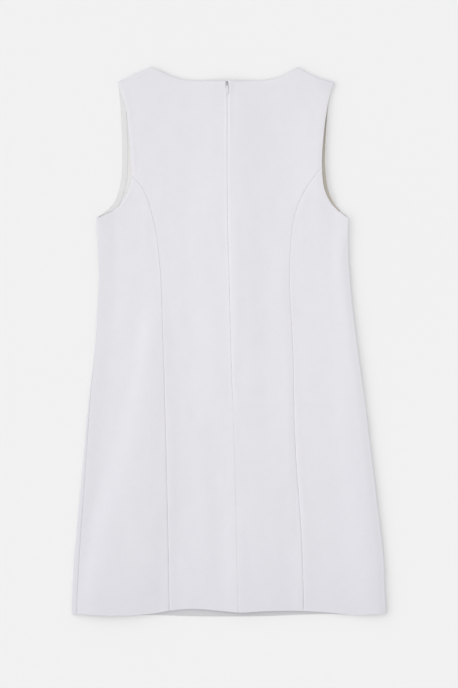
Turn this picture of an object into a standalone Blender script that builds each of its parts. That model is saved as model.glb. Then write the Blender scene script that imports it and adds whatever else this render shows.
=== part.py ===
# Sleeveless shift dress with princess seams, lying flat on its front with the back upwards.
# Metres, +Z up, +Y from the hem to the neck, +X to the right as the back is looked at.
# The origin is under the middle of the dress, on the surface that it lies on.

import math
from collections import namedtuple

import bmesh
import bpy
from mathutils import Vector

# Cloth and lay
WALL = 0.0012  # double crepe, seen as one wall
SEAM_GAP = 0.0003  # left open at each seam
LAYER_GAP = 0.0005  # air between the back and the front where they lie closest
SIDE_GAP = 0.0018  # air inside the folded side edges
SOFT_FROM = 0.0014  # lift above which folds are held back
MOST_LIFT = 0.0034  # lift that no fold passes
SIDE_SPREAD = 0.030  # how far in from a side fold its swell dies away
SHOULDER_SPREAD = 0.030  # how far below a shoulder the folds are held down

# Zip
ZIP_LENGTH = 0.516  # neck edge to the end of its slit
TAPE_WIDTH = 0.0105
TAPE_WALL = 0.0010
TAPE_CLEARANCE = 0.00035  # tape to the cloth above it
TAPE_TAIL = 0.014  # tape below the slit's end
TAPE_DROP = 0.0015  # tape's top end below the neck edge
RIDGE_HALF_WIDTH = 0.0145  # flat crown over the tapes
RIDGE_SPREAD = 0.016  # slope on each side of the crown
RIDGE_FADE = 0.048  # stretch over which the crown rises past the tapes' lower ends
LIP_OPENING = 0.0024  # half width of the slit at the slider
LIP_LENGTH = 0.0112  # stretch of the slit that is held open
LIP_TAPER = 0.0170  # stretch over which it closes
LIP_STEPS = 8
LIP_TIP = 0.0001  # half width where the opening runs out in the seam

# Slider and pull tab
SLIDER_LENGTH = 0.0094
SLIDER_WIDTH = 0.0042
SLIDER_DROP = 0.0012  # slider's top end below the neck edge
SLIDER_CORNER = 0.0010
SLIDER_CORNER_STEPS = 3
ENAMEL_METALLIC = 0.6
EYE = 0.0017  # square window under the slider's arch
ARCH_POST = 0.0009
ARCH_ROOF = 0.0007
ARCH_WIDTH = 0.0010
ARCH_CORNER = 0.00054
ARCH_SINK = 0.0005  # arch's posts set into the slider's body
TAB_WALL = 0.0008
TAB_CLEARANCE = 0.0003  # tab above the closed lips
TAB_LENGTH = 0.0160
TAB_TOP_WIDTH = 0.0034
TAB_FOOT_WIDTH = 0.0044
TAB_HOLE_WIDTH = 0.0018
TAB_HOLE_LENGTH = 0.0024
TAB_FOOT_STEPS = 8

# Steps of the walls' meshes
SIDE_STEPS = 26
SIDE_STEP_EASE = 1.25  # above 1 the steps shorten towards the armhole
ARMHOLE_STEPS = 7
NECK_STEPS = 7
SHOULDER_STEPS = 3
FRONT_NECK_STEPS = 5
FRONT_SHOULDER_STEPS = 2
CENTRE_EASE = 1.35  # above 1 the steps shorten towards the centre back
SIDE_PANEL_STEPS = 6
FOLD_STEPS = 6
PRINCESS_SHARE = 0.80  # share of a centre back's height that its rows beside the seam take
TURN_DEPTHS = (0.00025, 0.00085, 0.0040)  # steps just below the shoulders and the neck edge
TAPE_STEPS = 3
TAPE_ROWS = 24
TAPE_STEP_EASE = 1.5

FRONT_MIDDLE = WALL / 2
FOLD_RADIUS = (WALL + SIDE_GAP) / 2
FOLD_QUARTER = FOLD_RADIUS * math.pi / 2
FOLD_STRIP = FOLD_QUARTER + 0.0010
FOLD_REST = 0.00025  # shortest flat step beside a bend
FOLD_STRIP_MOST = FOLD_STRIP * 1.05  # a strip up to this long has even steps
SHOULDER_RADIUS = (WALL + LAYER_GAP) / 2

# The side folds, a row a level. Across is read to the outside of the fold. Turn is how far the
# side seam lies past the fold: above zero on the back, below zero underneath.
SideRow = namedtuple("SideRow", "level left right left_turn right_turn")
SIDES = (
    SideRow(-0.4466, -0.2580, 0.2580, 0.0085, -0.0180),
    SideRow(-0.4200, -0.2575, 0.2562, 0.0084, -0.0175),
    SideRow(-0.3500, -0.2535, 0.2530, 0.0080, -0.0155),
    SideRow(-0.2600, -0.2452, 0.2425, 0.0062, -0.0120),
    SideRow(-0.1780, -0.2377, 0.2325, 0.0045, -0.0090),
    SideRow(-0.0960, -0.2300, 0.2226, 0.0024, -0.0060),
    SideRow(-0.0140, -0.2205, 0.2112, 0.0008, -0.0035),
    SideRow(0.0520, -0.2161, 0.2030, 0.0000, -0.0018),
    SideRow(0.1010, -0.2139, 0.1985, 0.0000, -0.0008),
    SideRow(0.1500, -0.2152, 0.1957, 0.0000, 0.0000),
    SideRow(0.2020, -0.2172, 0.1960, 0.0000, 0.0000),
)

# The hem, a row a place across the dress.
HemRow = namedtuple("HemRow", "across front back")
HEM = (
    HemRow(-0.2580, -0.4466, -0.4466),
    HemRow(-0.2500, -0.4466, -0.4466),
    HemRow(-0.1960, -0.4490, -0.4490),
    HemRow(-0.1300, -0.4486, -0.4464),
    HemRow(-0.0972, -0.4490, -0.4412),
    HemRow(-0.0600, -0.4496, -0.4381),
    HemRow(-0.0150, -0.4500, -0.4408),
    HemRow(0.0180, -0.4500, -0.4434),
    HemRow(0.0600, -0.4494, -0.4412),
    HemRow(0.1160, -0.4476, -0.4412),
    HemRow(0.1640, -0.4468, -0.4444),
    HemRow(0.2050, -0.4484, -0.4480),
    HemRow(0.2400, -0.4466, -0.4466),
    HemRow(0.2580, -0.4466, -0.4466),
)

# Seams and edges of the back, from the bottom up, each row a point that the line passes.
LinePoint = namedtuple("LinePoint", "across level")
LEFT_PRINCESS = (
    LinePoint(-0.0980, -0.4412),
    LinePoint(-0.1000, -0.3250),
    LinePoint(-0.1037, -0.1615),
    LinePoint(-0.1078, -0.0139),
    LinePoint(-0.1123, 0.1009),
    LinePoint(-0.1184, 0.1650),
    LinePoint(-0.1265, 0.2050),
    LinePoint(-0.1345, 0.2330),
    LinePoint(-0.1440, 0.2530),
    LinePoint(-0.1600, 0.2700),
)
RIGHT_PRINCESS = (
    LinePoint(0.1225, -0.4416),
    LinePoint(0.1187, -0.3250),
    LinePoint(0.1078, -0.1615),
    LinePoint(0.1046, -0.0139),
    LinePoint(0.0991, 0.1009),
    LinePoint(0.1022, 0.1700),
    LinePoint(0.1085, 0.2100),
    LinePoint(0.1190, 0.2380),
    LinePoint(0.1350, 0.2640),
    LinePoint(0.1520, 0.2850),
)
CENTRE_BACK = (
    LinePoint(0.0140, -0.4430),
    LinePoint(0.0111, -0.2927),
    LinePoint(0.0078, -0.1615),
    LinePoint(0.0029, -0.0139),
    LinePoint(0.0001, 0.1009),
    LinePoint(-0.0030, 0.2020),
    LinePoint(-0.0037, 0.3200),
    LinePoint(-0.0037, 0.4280),
)
# Each armhole runs from the underarm to the shoulder. The princess seam meets its edge in the
# row counted by PRINCESS_JOIN.
LEFT_ARMHOLE = (
    LinePoint(-0.2172, 0.2020),
    LinePoint(-0.1983, 0.2095),
    LinePoint(-0.1805, 0.2231),
    LinePoint(-0.1664, 0.2460),
    LinePoint(-0.1600, 0.2700),
    LinePoint(-0.1612, 0.3000),
    LinePoint(-0.1645, 0.3400),
    LinePoint(-0.1700, 0.3850),
    LinePoint(-0.1825, 0.4240),
)
RIGHT_ARMHOLE = (
    LinePoint(0.1960, 0.2020),
    LinePoint(0.1810, 0.2120),
    LinePoint(0.1655, 0.2290),
    LinePoint(0.1552, 0.2530),
    LinePoint(0.1520, 0.2850),
    LinePoint(0.1522, 0.3160),
    LinePoint(0.1566, 0.3600),
    LinePoint(0.1635, 0.3980),
    LinePoint(0.1721, 0.4250),
)
PRINCESS_JOIN = 4
LEFT_FRONT_ARMHOLE = (
    LinePoint(-0.2172, 0.2020),
    LinePoint(-0.2040, 0.2115),
    LinePoint(-0.1912, 0.2240),
    LinePoint(-0.1820, 0.2440),
    LinePoint(-0.1766, 0.2700),
    LinePoint(-0.1754, 0.3000),
    LinePoint(-0.1761, 0.3400),
    LinePoint(-0.1785, 0.3900),
    LinePoint(-0.1825, 0.4240),
)
RIGHT_FRONT_ARMHOLE = (
    LinePoint(0.1960, 0.2020),
    LinePoint(0.1882, 0.2157),
    LinePoint(0.1783, 0.2280),
    LinePoint(0.1705, 0.2430),
    LinePoint(0.1642, 0.2680),
    LinePoint(0.1622, 0.2960),
    LinePoint(0.1621, 0.3320),
    LinePoint(0.1647, 0.3700),
    LinePoint(0.1672, 0.4000),
    LinePoint(0.1721, 0.4250),
)
# The neck edges, from the left shoulder to the right one.
BACK_NECK = (
    LinePoint(-0.1283, 0.4495),
    LinePoint(-0.1136, 0.4438),
    LinePoint(-0.0950, 0.4366),
    LinePoint(-0.0644, 0.4300),
    LinePoint(-0.0037, 0.4280),
    LinePoint(0.0504, 0.4292),
    LinePoint(0.0832, 0.4358),
    LinePoint(0.1000, 0.4440),
    LinePoint(0.1130, 0.4495),
)
NECK_CENTRE = 4
FRONT_NECK_DROP = 0.018  # front neck edge below the back one at the centre
FRONT_NECK_FLATNESS = 1.6  # above 1 the drop is reached before the centre

# Folds of the back. Each one runs up or down the dress along a bowed line, with its own lift
# at the top and foot and its own reach on each side.
Fold = namedtuple("Fold", "top_x top_y foot_x foot_y bow top_lift foot_lift left_reach right_reach")
FOLDS = (
    Fold(-0.1250, 0.1050, -0.2050, -0.4700, -0.0100, 0.0006, 0.0026, 0.050, 0.095),  # left panel
    Fold(-0.0550, 0.1900, -0.0300, -0.1000, 0.0060, 0.0007, 0.0005, 0.040, 0.030),  # left centre
    Fold(-0.0500, -0.1500, -0.0480, -0.4700, 0.0030, 0.0003, 0.0018, 0.045, 0.040),  # left centre foot
    Fold(0.0080, -0.1200, 0.0140, -0.4700, 0.0020, 0.0006, 0.0026, 0.040, 0.075),  # centre foot
    Fold(0.0850, 0.1300, 0.1080, -0.3200, -0.0040, 0.0010, 0.0008, 0.038, 0.018),  # right centre
    Fold(0.1250, -0.2600, 0.1180, -0.4700, 0.0030, 0.0002, 0.0012, 0.022, 0.045),  # right seam foot
    Fold(0.1700, 0.0500, 0.1950, -0.4700, 0.0060, 0.0008, 0.0024, 0.050, 0.060),  # right panel
    Fold(0.1450, 0.4000, 0.1480, 0.2450, 0.0020, 0.0022, 0.0024, 0.050, 0.060),  # right armhole edge
    Fold(0.1500, 0.2450, 0.1450, 0.1300, 0.0000, 0.0010, 0.0006, 0.035, 0.040),  # right bust
)
FOLD_END = 0.060  # stretch over which a fold dies away past its top
FOLD_TOP_REACH = 0.6  # share of a fold's reach that is left at its top

CLOTH_COLOUR = (0.80, 0.79, 0.82, 1.0)
INSIDE_COLOUR = (0.78, 0.77, 0.78, 1.0)
TAPE_COLOUR = (0.76, 0.76, 0.77, 1.0)
ENAMEL_COLOUR = (0.62, 0.62, 0.64, 1.0)
CLOTH_ROUGHNESS = 0.85
ENAMEL_ROUGHNESS = 0.35
SHARP_EDGE = math.radians(50)


def clear_scene():
    for item in list(bpy.data.objects):
        bpy.data.objects.remove(item, do_unlink=True)


def make_material(name, colour, roughness, metallic=0.0):
    material = bpy.data.materials.new(name)
    material.use_nodes = True
    shader = material.node_tree.nodes["Principled BSDF"]
    shader.inputs["Base Color"].default_value = colour
    shader.inputs["Roughness"].default_value = roughness
    shader.inputs["Metallic"].default_value = metallic
    material.diffuse_color = colour
    return material


def ease(share):
    share = min(max(share, 0.0), 1.0)
    return share * share * (3.0 - 2.0 * share)


def blend(first, second, share):
    return first + (second - first) * share


def hermite(first, second, first_slope, second_slope, step, share):
    square = share * share
    cube = square * share
    return (
        first * (2 * cube - 3 * square + 1)
        + first_slope * (step * (cube - 2 * square + share))
        + second * (3 * square - 2 * cube)
        + second_slope * (step * (cube - square))
    )


class SmoothLine:
    """A smooth line through points, read by its stops or by its share from 0 to 1."""

    def __init__(self, values, stops):
        self.values = values
        self.stops = stops
        last = len(values) - 1
        self.slopes = []
        for i in range(last + 1):
            before = max(i - 1, 0)
            after = min(i + 1, last)
            self.slopes.append((values[after] - values[before]) / (stops[after] - stops[before]))

    def at_stop(self, stop):
        stop = min(max(stop, self.stops[0]), self.stops[-1])
        i = 0
        while i < len(self.stops) - 2 and stop > self.stops[i + 1]:
            i += 1
        step = self.stops[i + 1] - self.stops[i]
        share = (stop - self.stops[i]) / step
        return hermite(self.values[i], self.values[i + 1], self.slopes[i], self.slopes[i + 1], step, share)

    def at(self, share):
        return self.at_stop(blend(self.stops[0], self.stops[-1], share))


def line_through(points):
    values = [Vector((point[0], point[1])) for point in points]
    stops = [0.0]
    for first, second in zip(values, values[1:]):
        stops.append(stops[-1] + (second - first).length)
    return SmoothLine(values, stops)


def column(rows, key, value):
    return SmoothLine([getattr(row, value) for row in rows], [getattr(row, key) for row in rows])


LEFT_SIDE = column(SIDES, "level", "left")
RIGHT_SIDE = column(SIDES, "level", "right")
LEFT_TURN = column(SIDES, "level", "left_turn")
RIGHT_TURN = column(SIDES, "level", "right_turn")
HEM_FRONT = column(HEM, "across", "front")
HEM_BACK = column(HEM, "across", "back")
CENTRE_LINE = line_through(CENTRE_BACK)
CENTRE_ACROSS = column(CENTRE_BACK, "level", "across")
NECK_LEVEL = CENTRE_BACK[-1].level
HEM_LEVEL = SIDES[0].level
UNDERARM_LEVEL = SIDES[-1].level
LEFT_TIP = Vector(LEFT_ARMHOLE[-1])
RIGHT_TIP = Vector(RIGHT_ARMHOLE[-1])
LEFT_NECK = Vector(BACK_NECK[0])
RIGHT_NECK = Vector(BACK_NECK[-1])


# A point of a wall's middle sheet, with the direction of the wall's outer side there.
SheetPoint = namedtuple("SheetPoint", "place outer")
UP = Vector((0.0, 0.0, 1.0))
SLOPE_STEP = 0.0005


# How high the back's wall lies

def depth_from_sides(x, y):
    """How far a point is in from the nearer side fold; past the underarm, from its corner."""
    level = min(y, UNDERARM_LEVEL)
    rise = max(y - UNDERARM_LEVEL, 0.0)
    left = math.hypot(max(x - LEFT_SIDE.at_stop(level) - WALL / 2, 0.0), rise)
    right = math.hypot(max(RIGHT_SIDE.at_stop(level) - WALL / 2 - x, 0.0), rise)
    return min(left, right)


def fold_lift(fold, x, y):
    share = (fold.top_y - y) / (fold.top_y - fold.foot_y)
    line = min(max(share, 0.0), 1.0)
    middle = blend(fold.top_x, fold.foot_x, line) + fold.bow * 4 * line * (1 - line)
    reach = fold.left_reach if x < middle else fold.right_reach
    reach *= blend(FOLD_TOP_REACH, 1.0, line)
    across = (1.0 + math.cos(math.pi * min(abs(x - middle) / reach, 1.0))) / 2
    past_top = ease((fold.top_y + FOLD_END - y) / (2 * FOLD_END))
    past_foot = ease((y - fold.foot_y + FOLD_END) / FOLD_END)
    lift = blend(fold.top_lift, fold.foot_lift, line)
    return lift * past_top * past_foot * across


def zip_lift(x, y):
    """The crown over the zip's tapes, level across them and sloping off on each side."""
    away = abs(x - CENTRE_ACROSS.at_stop(y)) - RIDGE_HALF_WIDTH
    across = 1.0 - ease(away / RIDGE_SPREAD)
    tape_end = NECK_LEVEL - ZIP_LENGTH - TAPE_TAIL
    along = ease((y - tape_end + FOLD_END) / RIDGE_FADE)
    needed = TAPE_WALL + TAPE_CLEARANCE * 2 - LAYER_GAP
    return needed * across * along


def held_back(lift):
    if lift < SOFT_FROM:
        return lift
    room = MOST_LIFT - SOFT_FROM
    return SOFT_FROM + room * (1.0 - math.exp((SOFT_FROM - lift) / room))


def back_height(x, y):
    depth = depth_from_sides(x, y)
    swell = (SIDE_GAP - LAYER_GAP) * (1.0 - ease((depth - FOLD_RADIUS) / SIDE_SPREAD))
    folds = sum(fold_lift(fold, x, y) for fold in FOLDS)
    folds *= ease((depth - FOLD_RADIUS) / SIDE_SPREAD)
    below_shoulder = ease((shoulder_depth(x, y) - SHOULDER_RADIUS) / SHOULDER_SPREAD)
    lift = held_back(swell + folds * below_shoulder + zip_lift(x, y))
    return WALL * 1.5 + LAYER_GAP + lift


def shoulder_depth(x, y):
    """How far a point lies below the nearer shoulder's line."""
    point = Vector((x, y))
    depths = []
    for tip, neck in ((LEFT_TIP, LEFT_NECK), (RIGHT_TIP, RIGHT_NECK)):
        along = neck - tip
        share = min(max((point - tip).dot(along) / along.length_squared, 0.0), 1.0)
        depths.append((point - tip - along * share).length)
    return min(depths)


def shoulder_outward(x):
    """Level direction square to the shoulder's line, away from the dress."""
    along = LEFT_NECK - LEFT_TIP if x < 0 else RIGHT_TIP - RIGHT_NECK
    return Vector((-along.y, along.x, 0.0)).normalized()


def back_outer(x, y):
    rise_x = back_height(x + SLOPE_STEP, y) - back_height(x - SLOPE_STEP, y)
    rise_y = back_height(x, y + SLOPE_STEP) - back_height(x, y - SLOPE_STEP)
    return Vector((-rise_x, -rise_y, 2 * SLOPE_STEP)).normalized()


def sheet_point(x, y, way):
    """Point of the back (way 1) or the front (way -1), turned in where it nears a shoulder seam."""
    height = back_height(x, y) if way > 0 else FRONT_MIDDLE
    outer = back_outer(x, y) if way > 0 else -UP
    depth = shoulder_depth(x, y)
    if depth < SHOULDER_RADIUS:
        inward = 1.0 - depth / SHOULDER_RADIUS
        level = math.sqrt(max(1.0 - inward * inward, 0.0))
        turn = min(SHOULDER_RADIUS * (1.0 - level), SHOULDER_RADIUS - SEAM_GAP / 2)
        height -= way * turn
        outer = (shoulder_outward(x) * inward + UP * level * way).normalized()
    return SheetPoint(Vector((x, y, height)), outer)


# Points of the walls' middle sheets

def fold_depth(belt):
    """How far in from the outermost line a point is, by its place round the side fold."""
    if abs(belt) <= FOLD_QUARTER:
        return FOLD_RADIUS * (1.0 - math.cos(belt / FOLD_RADIUS))
    return FOLD_RADIUS + abs(belt) - FOLD_QUARTER


def fold_point(edge, inward, belt):
    place = edge + inward * fold_depth(belt)
    if belt > FOLD_QUARTER:
        return sheet_point(place.x, place.y, 1)
    if belt < -FOLD_QUARTER:
        return sheet_point(place.x, place.y, -1)
    turn = belt / FOLD_RADIUS
    height = FRONT_MIDDLE + FOLD_RADIUS * (1.0 + math.sin(turn))
    outer = UP * math.sin(turn) - inward.to_3d() * math.cos(turn)
    return SheetPoint(Vector((place.x, place.y, height)), outer)


def belt_steps(seam, inner):
    """Places round a side fold from the seam to where the flat panel starts."""
    length = inner - seam
    if abs(length) < FOLD_STRIP_MOST:
        return [seam + length * i / FOLD_STEPS for i in range(FOLD_STEPS + 1)]
    way = 1.0 if length > 0 else -1.0
    bend_end = FOLD_QUARTER * way
    if way > 0:
        bend_start = max(seam + FOLD_REST, -FOLD_QUARTER)
    else:
        bend_start = min(seam - FOLD_REST, FOLD_QUARTER)
    bends = FOLD_STEPS - 2
    turned = [blend(bend_start, bend_end, i / bends) for i in range(bends + 1)]
    return [seam] + turned + [inner]


def offset_line(points, distance):
    """The points moved to the left of their run, square to it."""
    moved = []
    last = len(points) - 1
    for i, point in enumerate(points):
        run = (points[min(i + 1, last)] - points[max(i - 1, 0)]).normalized()
        moved.append(point + Vector((-run.y, run.x)) * distance)
    return moved


def filled_patch(bottom, top, left, right, across, up):
    """Points of a four-sided patch from its four edges, row by row from the bottom."""
    rows = []
    for r, v in enumerate(up):
        row = []
        for c, u in enumerate(across):
            sides = left[r] * (1 - u) + right[r] * u
            ends = bottom[c] * (1 - v) + top[c] * v
            corners = (bottom[0] * (1 - u) + bottom[-1] * u) * (1 - v) + (top[0] * (1 - u) + top[-1] * u) * v
            row.append(sides + ends - corners)
        rows.append(row)
    return rows


def even_steps(count):
    return [i / count for i in range(count + 1)]


def eased_steps(count, power):
    """Shares from 0 to 1 whose steps shorten towards 1."""
    return [1.0 - (1.0 - share) ** power for share in even_steps(count)]


def side_shares():
    return eased_steps(SIDE_STEPS, SIDE_STEP_EASE)


def side_edge(side, share):
    """Outermost line of the wall's middle at the left (-1) or right (1) side fold."""
    level = blend(HEM_LEVEL, UNDERARM_LEVEL, share)
    across = (LEFT_SIDE if side < 0 else RIGHT_SIDE).at_stop(level)
    return Vector((across - side * WALL / 2, level))


def side_turn(side, share):
    level = blend(HEM_LEVEL, UNDERARM_LEVEL, share)
    return (LEFT_TURN if side < 0 else RIGHT_TURN).at_stop(level)


def hem_points(start, end, shares, hem):
    points = []
    for share in shares:
        across = blend(start.x, end.x, share)
        points.append(Vector((across, hem.at_stop(across))))
    return points


def princess_points(side):
    rows = LEFT_PRINCESS if side < 0 else RIGHT_PRINCESS
    line = line_through(rows)
    points = [line.at(share) for share in side_shares()]
    points[0].y = HEM_BACK.at_stop(points[0].x)
    return points


def armhole_points(rows, first, last, count, depths=()):
    """Points along an armhole between two of its rows, closing up just below its end."""
    line = line_through(rows)
    start = line.stops[first]
    end = line.stops[last]
    stops = [blend(start, end, i / count) for i in range(count)]
    stops += [end - depth for depth in sorted(depths, reverse=True)] + [end]
    return [line.at_stop(stop) for stop in stops]


def lip_offset(level, closed_width):
    """Half the slit's width at a level: open at the slider, closed further down."""
    below_neck = NECK_LEVEL - level
    closed = ease((below_neck - LIP_LENGTH) / LIP_TAPER)
    return blend(LIP_OPENING, closed_width, closed)


def wall_object(name, rows, wall, material):
    """A closed wall with its middle on the rows' points."""
    mesh = bpy.data.meshes.new(name)
    sheet = bmesh.new()
    sides = []
    for way in (0.5, -0.5):
        sides.append([[sheet.verts.new(p.place + p.outer * wall * way) for p in row] for row in rows])
    outer, inner = sides
    last_row = len(rows) - 1
    last = len(rows[0]) - 1
    for r in range(last_row):
        for c in range(last):
            for grid in sides:
                sheet.faces.new((grid[r][c], grid[r][c + 1], grid[r + 1][c + 1], grid[r + 1][c]))
    for r in range(last_row):
        for c in (0, last):
            sheet.faces.new((outer[r][c], outer[r + 1][c], inner[r + 1][c], inner[r][c]))
    for c in range(last):
        for r in (0, last_row):
            sheet.faces.new((outer[r][c], outer[r][c + 1], inner[r][c + 1], inner[r][c]))
    bmesh.ops.recalc_face_normals(sheet, faces=sheet.faces)
    sheet.to_mesh(mesh)
    sheet.free()
    mesh.materials.append(material)
    mesh.shade_smooth()
    mesh.set_sharp_from_angle(angle=SHARP_EDGE)
    item = bpy.data.objects.new(name, mesh)
    bpy.context.collection.objects.link(item)
    return item


# Panels

def make_front(material):
    ups = side_shares()
    strips = {}
    inner_edges = {}
    for side in (-1, 1):
        rows = []
        inner = []
        inward = Vector((-side, 0.0))
        for share in ups:
            edge = side_edge(side, share)
            seam = side_turn(side, share)
            belts = belt_steps(seam - SEAM_GAP / 2, min(seam, 0.0) - FOLD_STRIP)
            rows.append([fold_point(edge, inward, belt) for belt in belts])
            inner.append(rows[-1][-1].place.xy)
        armhole = LEFT_FRONT_ARMHOLE if side < 0 else RIGHT_FRONT_ARMHOLE
        edges = armhole_points(armhole, 0, len(armhole) - 1, ARMHOLE_STEPS, TURN_DEPTHS)
        insets = offset_line(edges, side * fold_depth(FOLD_STRIP))
        tip_run = (LEFT_NECK - LEFT_TIP if side < 0 else RIGHT_NECK - RIGHT_TIP).normalized()
        for i in range(len(TURN_DEPTHS) + 1):
            insets[-1 - i] = edges[-1 - i] + tip_run * fold_depth(FOLD_STRIP)
        for edge, inset in zip(edges[1:], insets[1:]):
            flat = [edge.lerp(inset, i / FOLD_STEPS) for i in range(FOLD_STEPS + 1)]
            rows.append([sheet_point(point.x, point.y, -1) for point in flat])
            inner.append(inset)
        strips[side] = rows
        inner_edges[side] = inner

    left = inner_edges[-1]
    right = inner_edges[1]
    across_count = 2 * FRONT_SHOULDER_STEPS + 2 * FRONT_NECK_STEPS
    bottom = hem_points(left[0], right[0], even_steps(across_count), HEM_FRONT)
    neck_line = line_through(BACK_NECK)
    neck_half_width = (RIGHT_NECK.x - LEFT_NECK.x) / 2
    shoulder = even_steps(FRONT_SHOULDER_STEPS)
    top = [left[-1].lerp(LEFT_NECK, share) for share in shoulder[:-1]]
    for share in even_steps(2 * FRONT_NECK_STEPS):
        point = neck_line.at(share)
        middle = abs(point.x - (LEFT_NECK.x + RIGHT_NECK.x) / 2) / neck_half_width
        drop = FRONT_NECK_DROP * ease((1.0 - middle) * FRONT_NECK_FLATNESS)
        top.append(point - Vector((0.0, drop)))
    top += [RIGHT_NECK.lerp(right[-1], share) for share in shoulder[1:]]
    heights = [point.y for point in left]
    ups = [(height - heights[0]) / (heights[-1] - heights[0]) for height in heights]
    patch = filled_patch(bottom, top, left, right, even_steps(across_count), ups)

    rows = []
    for r in range(len(ups)):
        left_strip = strips[-1][r]
        right_strip = strips[1][r]
        middle = [sheet_point(point.x, point.y, -1) for point in patch[r][1:-1]]
        rows.append(left_strip + middle + right_strip[::-1])
    return wall_object("front", rows, WALL, material)


def make_side_back(side, material):
    ups = side_shares()
    armhole = LEFT_ARMHOLE if side < 0 else RIGHT_ARMHOLE
    arm_line = line_through(armhole)
    join = arm_line.stops[PRINCESS_JOIN]
    strip_rows = []
    inner = []
    for i, share in enumerate(ups):
        edge = side_edge(side, share)
        seam = side_turn(side, share)
        inner_belt = max(seam, 0.0) + FOLD_STRIP
        inward = Vector((-side, 0.0))
        if i == SIDE_STEPS:
            inward = (arm_line.at_stop(fold_depth(inner_belt)) - edge).normalized()
        belts = belt_steps(seam + SEAM_GAP / 2, inner_belt)
        strip_rows.append([fold_point(edge, inward, belt) for belt in belts])
        inner.append(strip_rows[-1][-1].place.xy)

    princess = offset_line(princess_points(side), -side * SEAM_GAP / 2)
    princess[0].y = HEM_BACK.at_stop(princess[0].x)
    bottom = hem_points(inner[0], princess[0], even_steps(SIDE_PANEL_STEPS), HEM_BACK)
    strip_end = fold_depth(FOLD_STRIP)
    top = [inner[-1]]
    for share in even_steps(SIDE_PANEL_STEPS)[1:-1]:
        top.append(arm_line.at_stop(blend(strip_end, join, share)))
    top.append(princess[-1])
    patch = filled_patch(bottom, top, inner, princess, even_steps(SIDE_PANEL_STEPS), ups)

    rows = []
    for r in range(len(ups)):
        panel = [sheet_point(point.x, point.y, 1) for point in patch[r][1:]]
        row = strip_rows[r] + panel
        rows.append(row if side < 0 else row[::-1])
    name = "side_back_left" if side < 0 else "side_back_right"
    return wall_object(name, rows, WALL, material)


def make_back(side, slit_form, material):
    armhole = LEFT_ARMHOLE if side < 0 else RIGHT_ARMHOLE
    princess = offset_line(princess_points(side), side * SEAM_GAP / 2)
    princess[0].y = HEM_BACK.at_stop(princess[0].x)
    upper = armhole_points(armhole, PRINCESS_JOIN, len(armhole) - 1, ARMHOLE_STEPS, TURN_DEPTHS)
    outer = princess + upper[1:]

    side_ups = [PRINCESS_SHARE * share for share in side_shares()]
    heights = [point.y for point in upper]
    arm_ups = [(height - heights[0]) / (heights[-1] - heights[0]) for height in heights[1:]]
    ups = side_ups + [blend(PRINCESS_SHARE, 1.0, share) for share in arm_ups]
    centre = []
    for share in ups:
        point = CENTRE_LINE.at(share)
        centre.append(Vector((point.x + side * SEAM_GAP / 2, point.y)))
    centre[0].y = HEM_BACK.at_stop(centre[0].x)

    neck_line = line_through(BACK_NECK)
    neck_end = neck_line.stops[0 if side < 0 else -1]
    neck_centre = neck_line.stops[NECK_CENTRE] + side * SEAM_GAP / 2
    tip = LEFT_TIP if side < 0 else RIGHT_TIP
    neck = LEFT_NECK if side < 0 else RIGHT_NECK
    top = [tip.lerp(neck, i / SHOULDER_STEPS) for i in range(SHOULDER_STEPS)]
    neck_shares = eased_steps(NECK_STEPS, CENTRE_EASE)
    top += [neck_line.at_stop(blend(neck_end, neck_centre, share)) for share in neck_shares[:-1]]
    top.append(centre[-1])
    shares = eased_steps(SHOULDER_STEPS + NECK_STEPS, CENTRE_EASE)
    bottom = hem_points(outer[0], centre[0], shares, HEM_BACK)
    patch = filled_patch(bottom, top, outer, centre, shares, ups)

    rows = []
    for line in patch:
        row = [sheet_point(point.x, point.y, 1) for point in line]
        rows.append(row if side < 0 else row[::-1])
    panel = wall_object("back_left" if side < 0 else "back_right", rows, WALL, material)
    cut = panel.modifiers.new("slit", "BOOLEAN")
    cut.operation = "DIFFERENCE"
    cut.solver = "EXACT"
    cut.object = slit_form
    return panel


def make_slit_form():
    """Upright block whose outline is the slit held open by the slider."""
    levels = [NECK_LEVEL + LIP_LENGTH]
    foot = NECK_LEVEL - LIP_LENGTH
    levels += [foot - LIP_TAPER * share for share in even_steps(LIP_STEPS)]
    right = []
    left = []
    for level in levels:
        middle = CENTRE_ACROSS.at_stop(min(level, NECK_LEVEL))
        half = lip_offset(level, LIP_TIP)
        right.append((middle + half, level))
        left.append((middle - half, level))
    mesh = bpy.data.meshes.new("slit_form")
    sheet = bmesh.new()
    face = sheet.faces.new([sheet.verts.new((x, y, WALL / 2)) for x, y in right + left[::-1]])
    grown = bmesh.ops.extrude_face_region(sheet, geom=[face])
    top = [item for item in grown["geom"] if isinstance(item, bmesh.types.BMVert)]
    bmesh.ops.translate(sheet, verts=top, vec=(0, 0, LIP_LENGTH))
    bmesh.ops.recalc_face_normals(sheet, faces=sheet.faces)
    sheet.to_mesh(mesh)
    sheet.free()
    form = bpy.data.objects.new("slit_form", mesh)
    form.hide_render = True
    form.display_type = "WIRE"
    bpy.context.collection.objects.link(form)
    return form


def make_tape(side, material):
    top_level = NECK_LEVEL - TAPE_DROP
    end_level = NECK_LEVEL - ZIP_LENGTH - TAPE_TAIL
    drop = WALL / 2 + TAPE_CLEARANCE + TAPE_WALL / 2
    shares = eased_steps(TAPE_ROWS, TAPE_STEP_EASE)
    rows = []
    for r in range(TAPE_ROWS + 1):
        level = blend(end_level, top_level, shares[r])
        inner = CENTRE_ACROSS.at_stop(level) + side * lip_offset(level, SEAM_GAP / 2)
        row = []
        for share in even_steps(TAPE_STEPS):
            across = inner + side * TAPE_WIDTH * share
            height = back_height(across, level) - drop
            row.append(SheetPoint(Vector((across, level, height)), back_outer(across, level)))
        rows.append(row if side > 0 else row[::-1])
    return wall_object("zip_tape_left" if side < 0 else "zip_tape_right", rows, TAPE_WALL, material)


# Slider and pull tab

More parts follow.
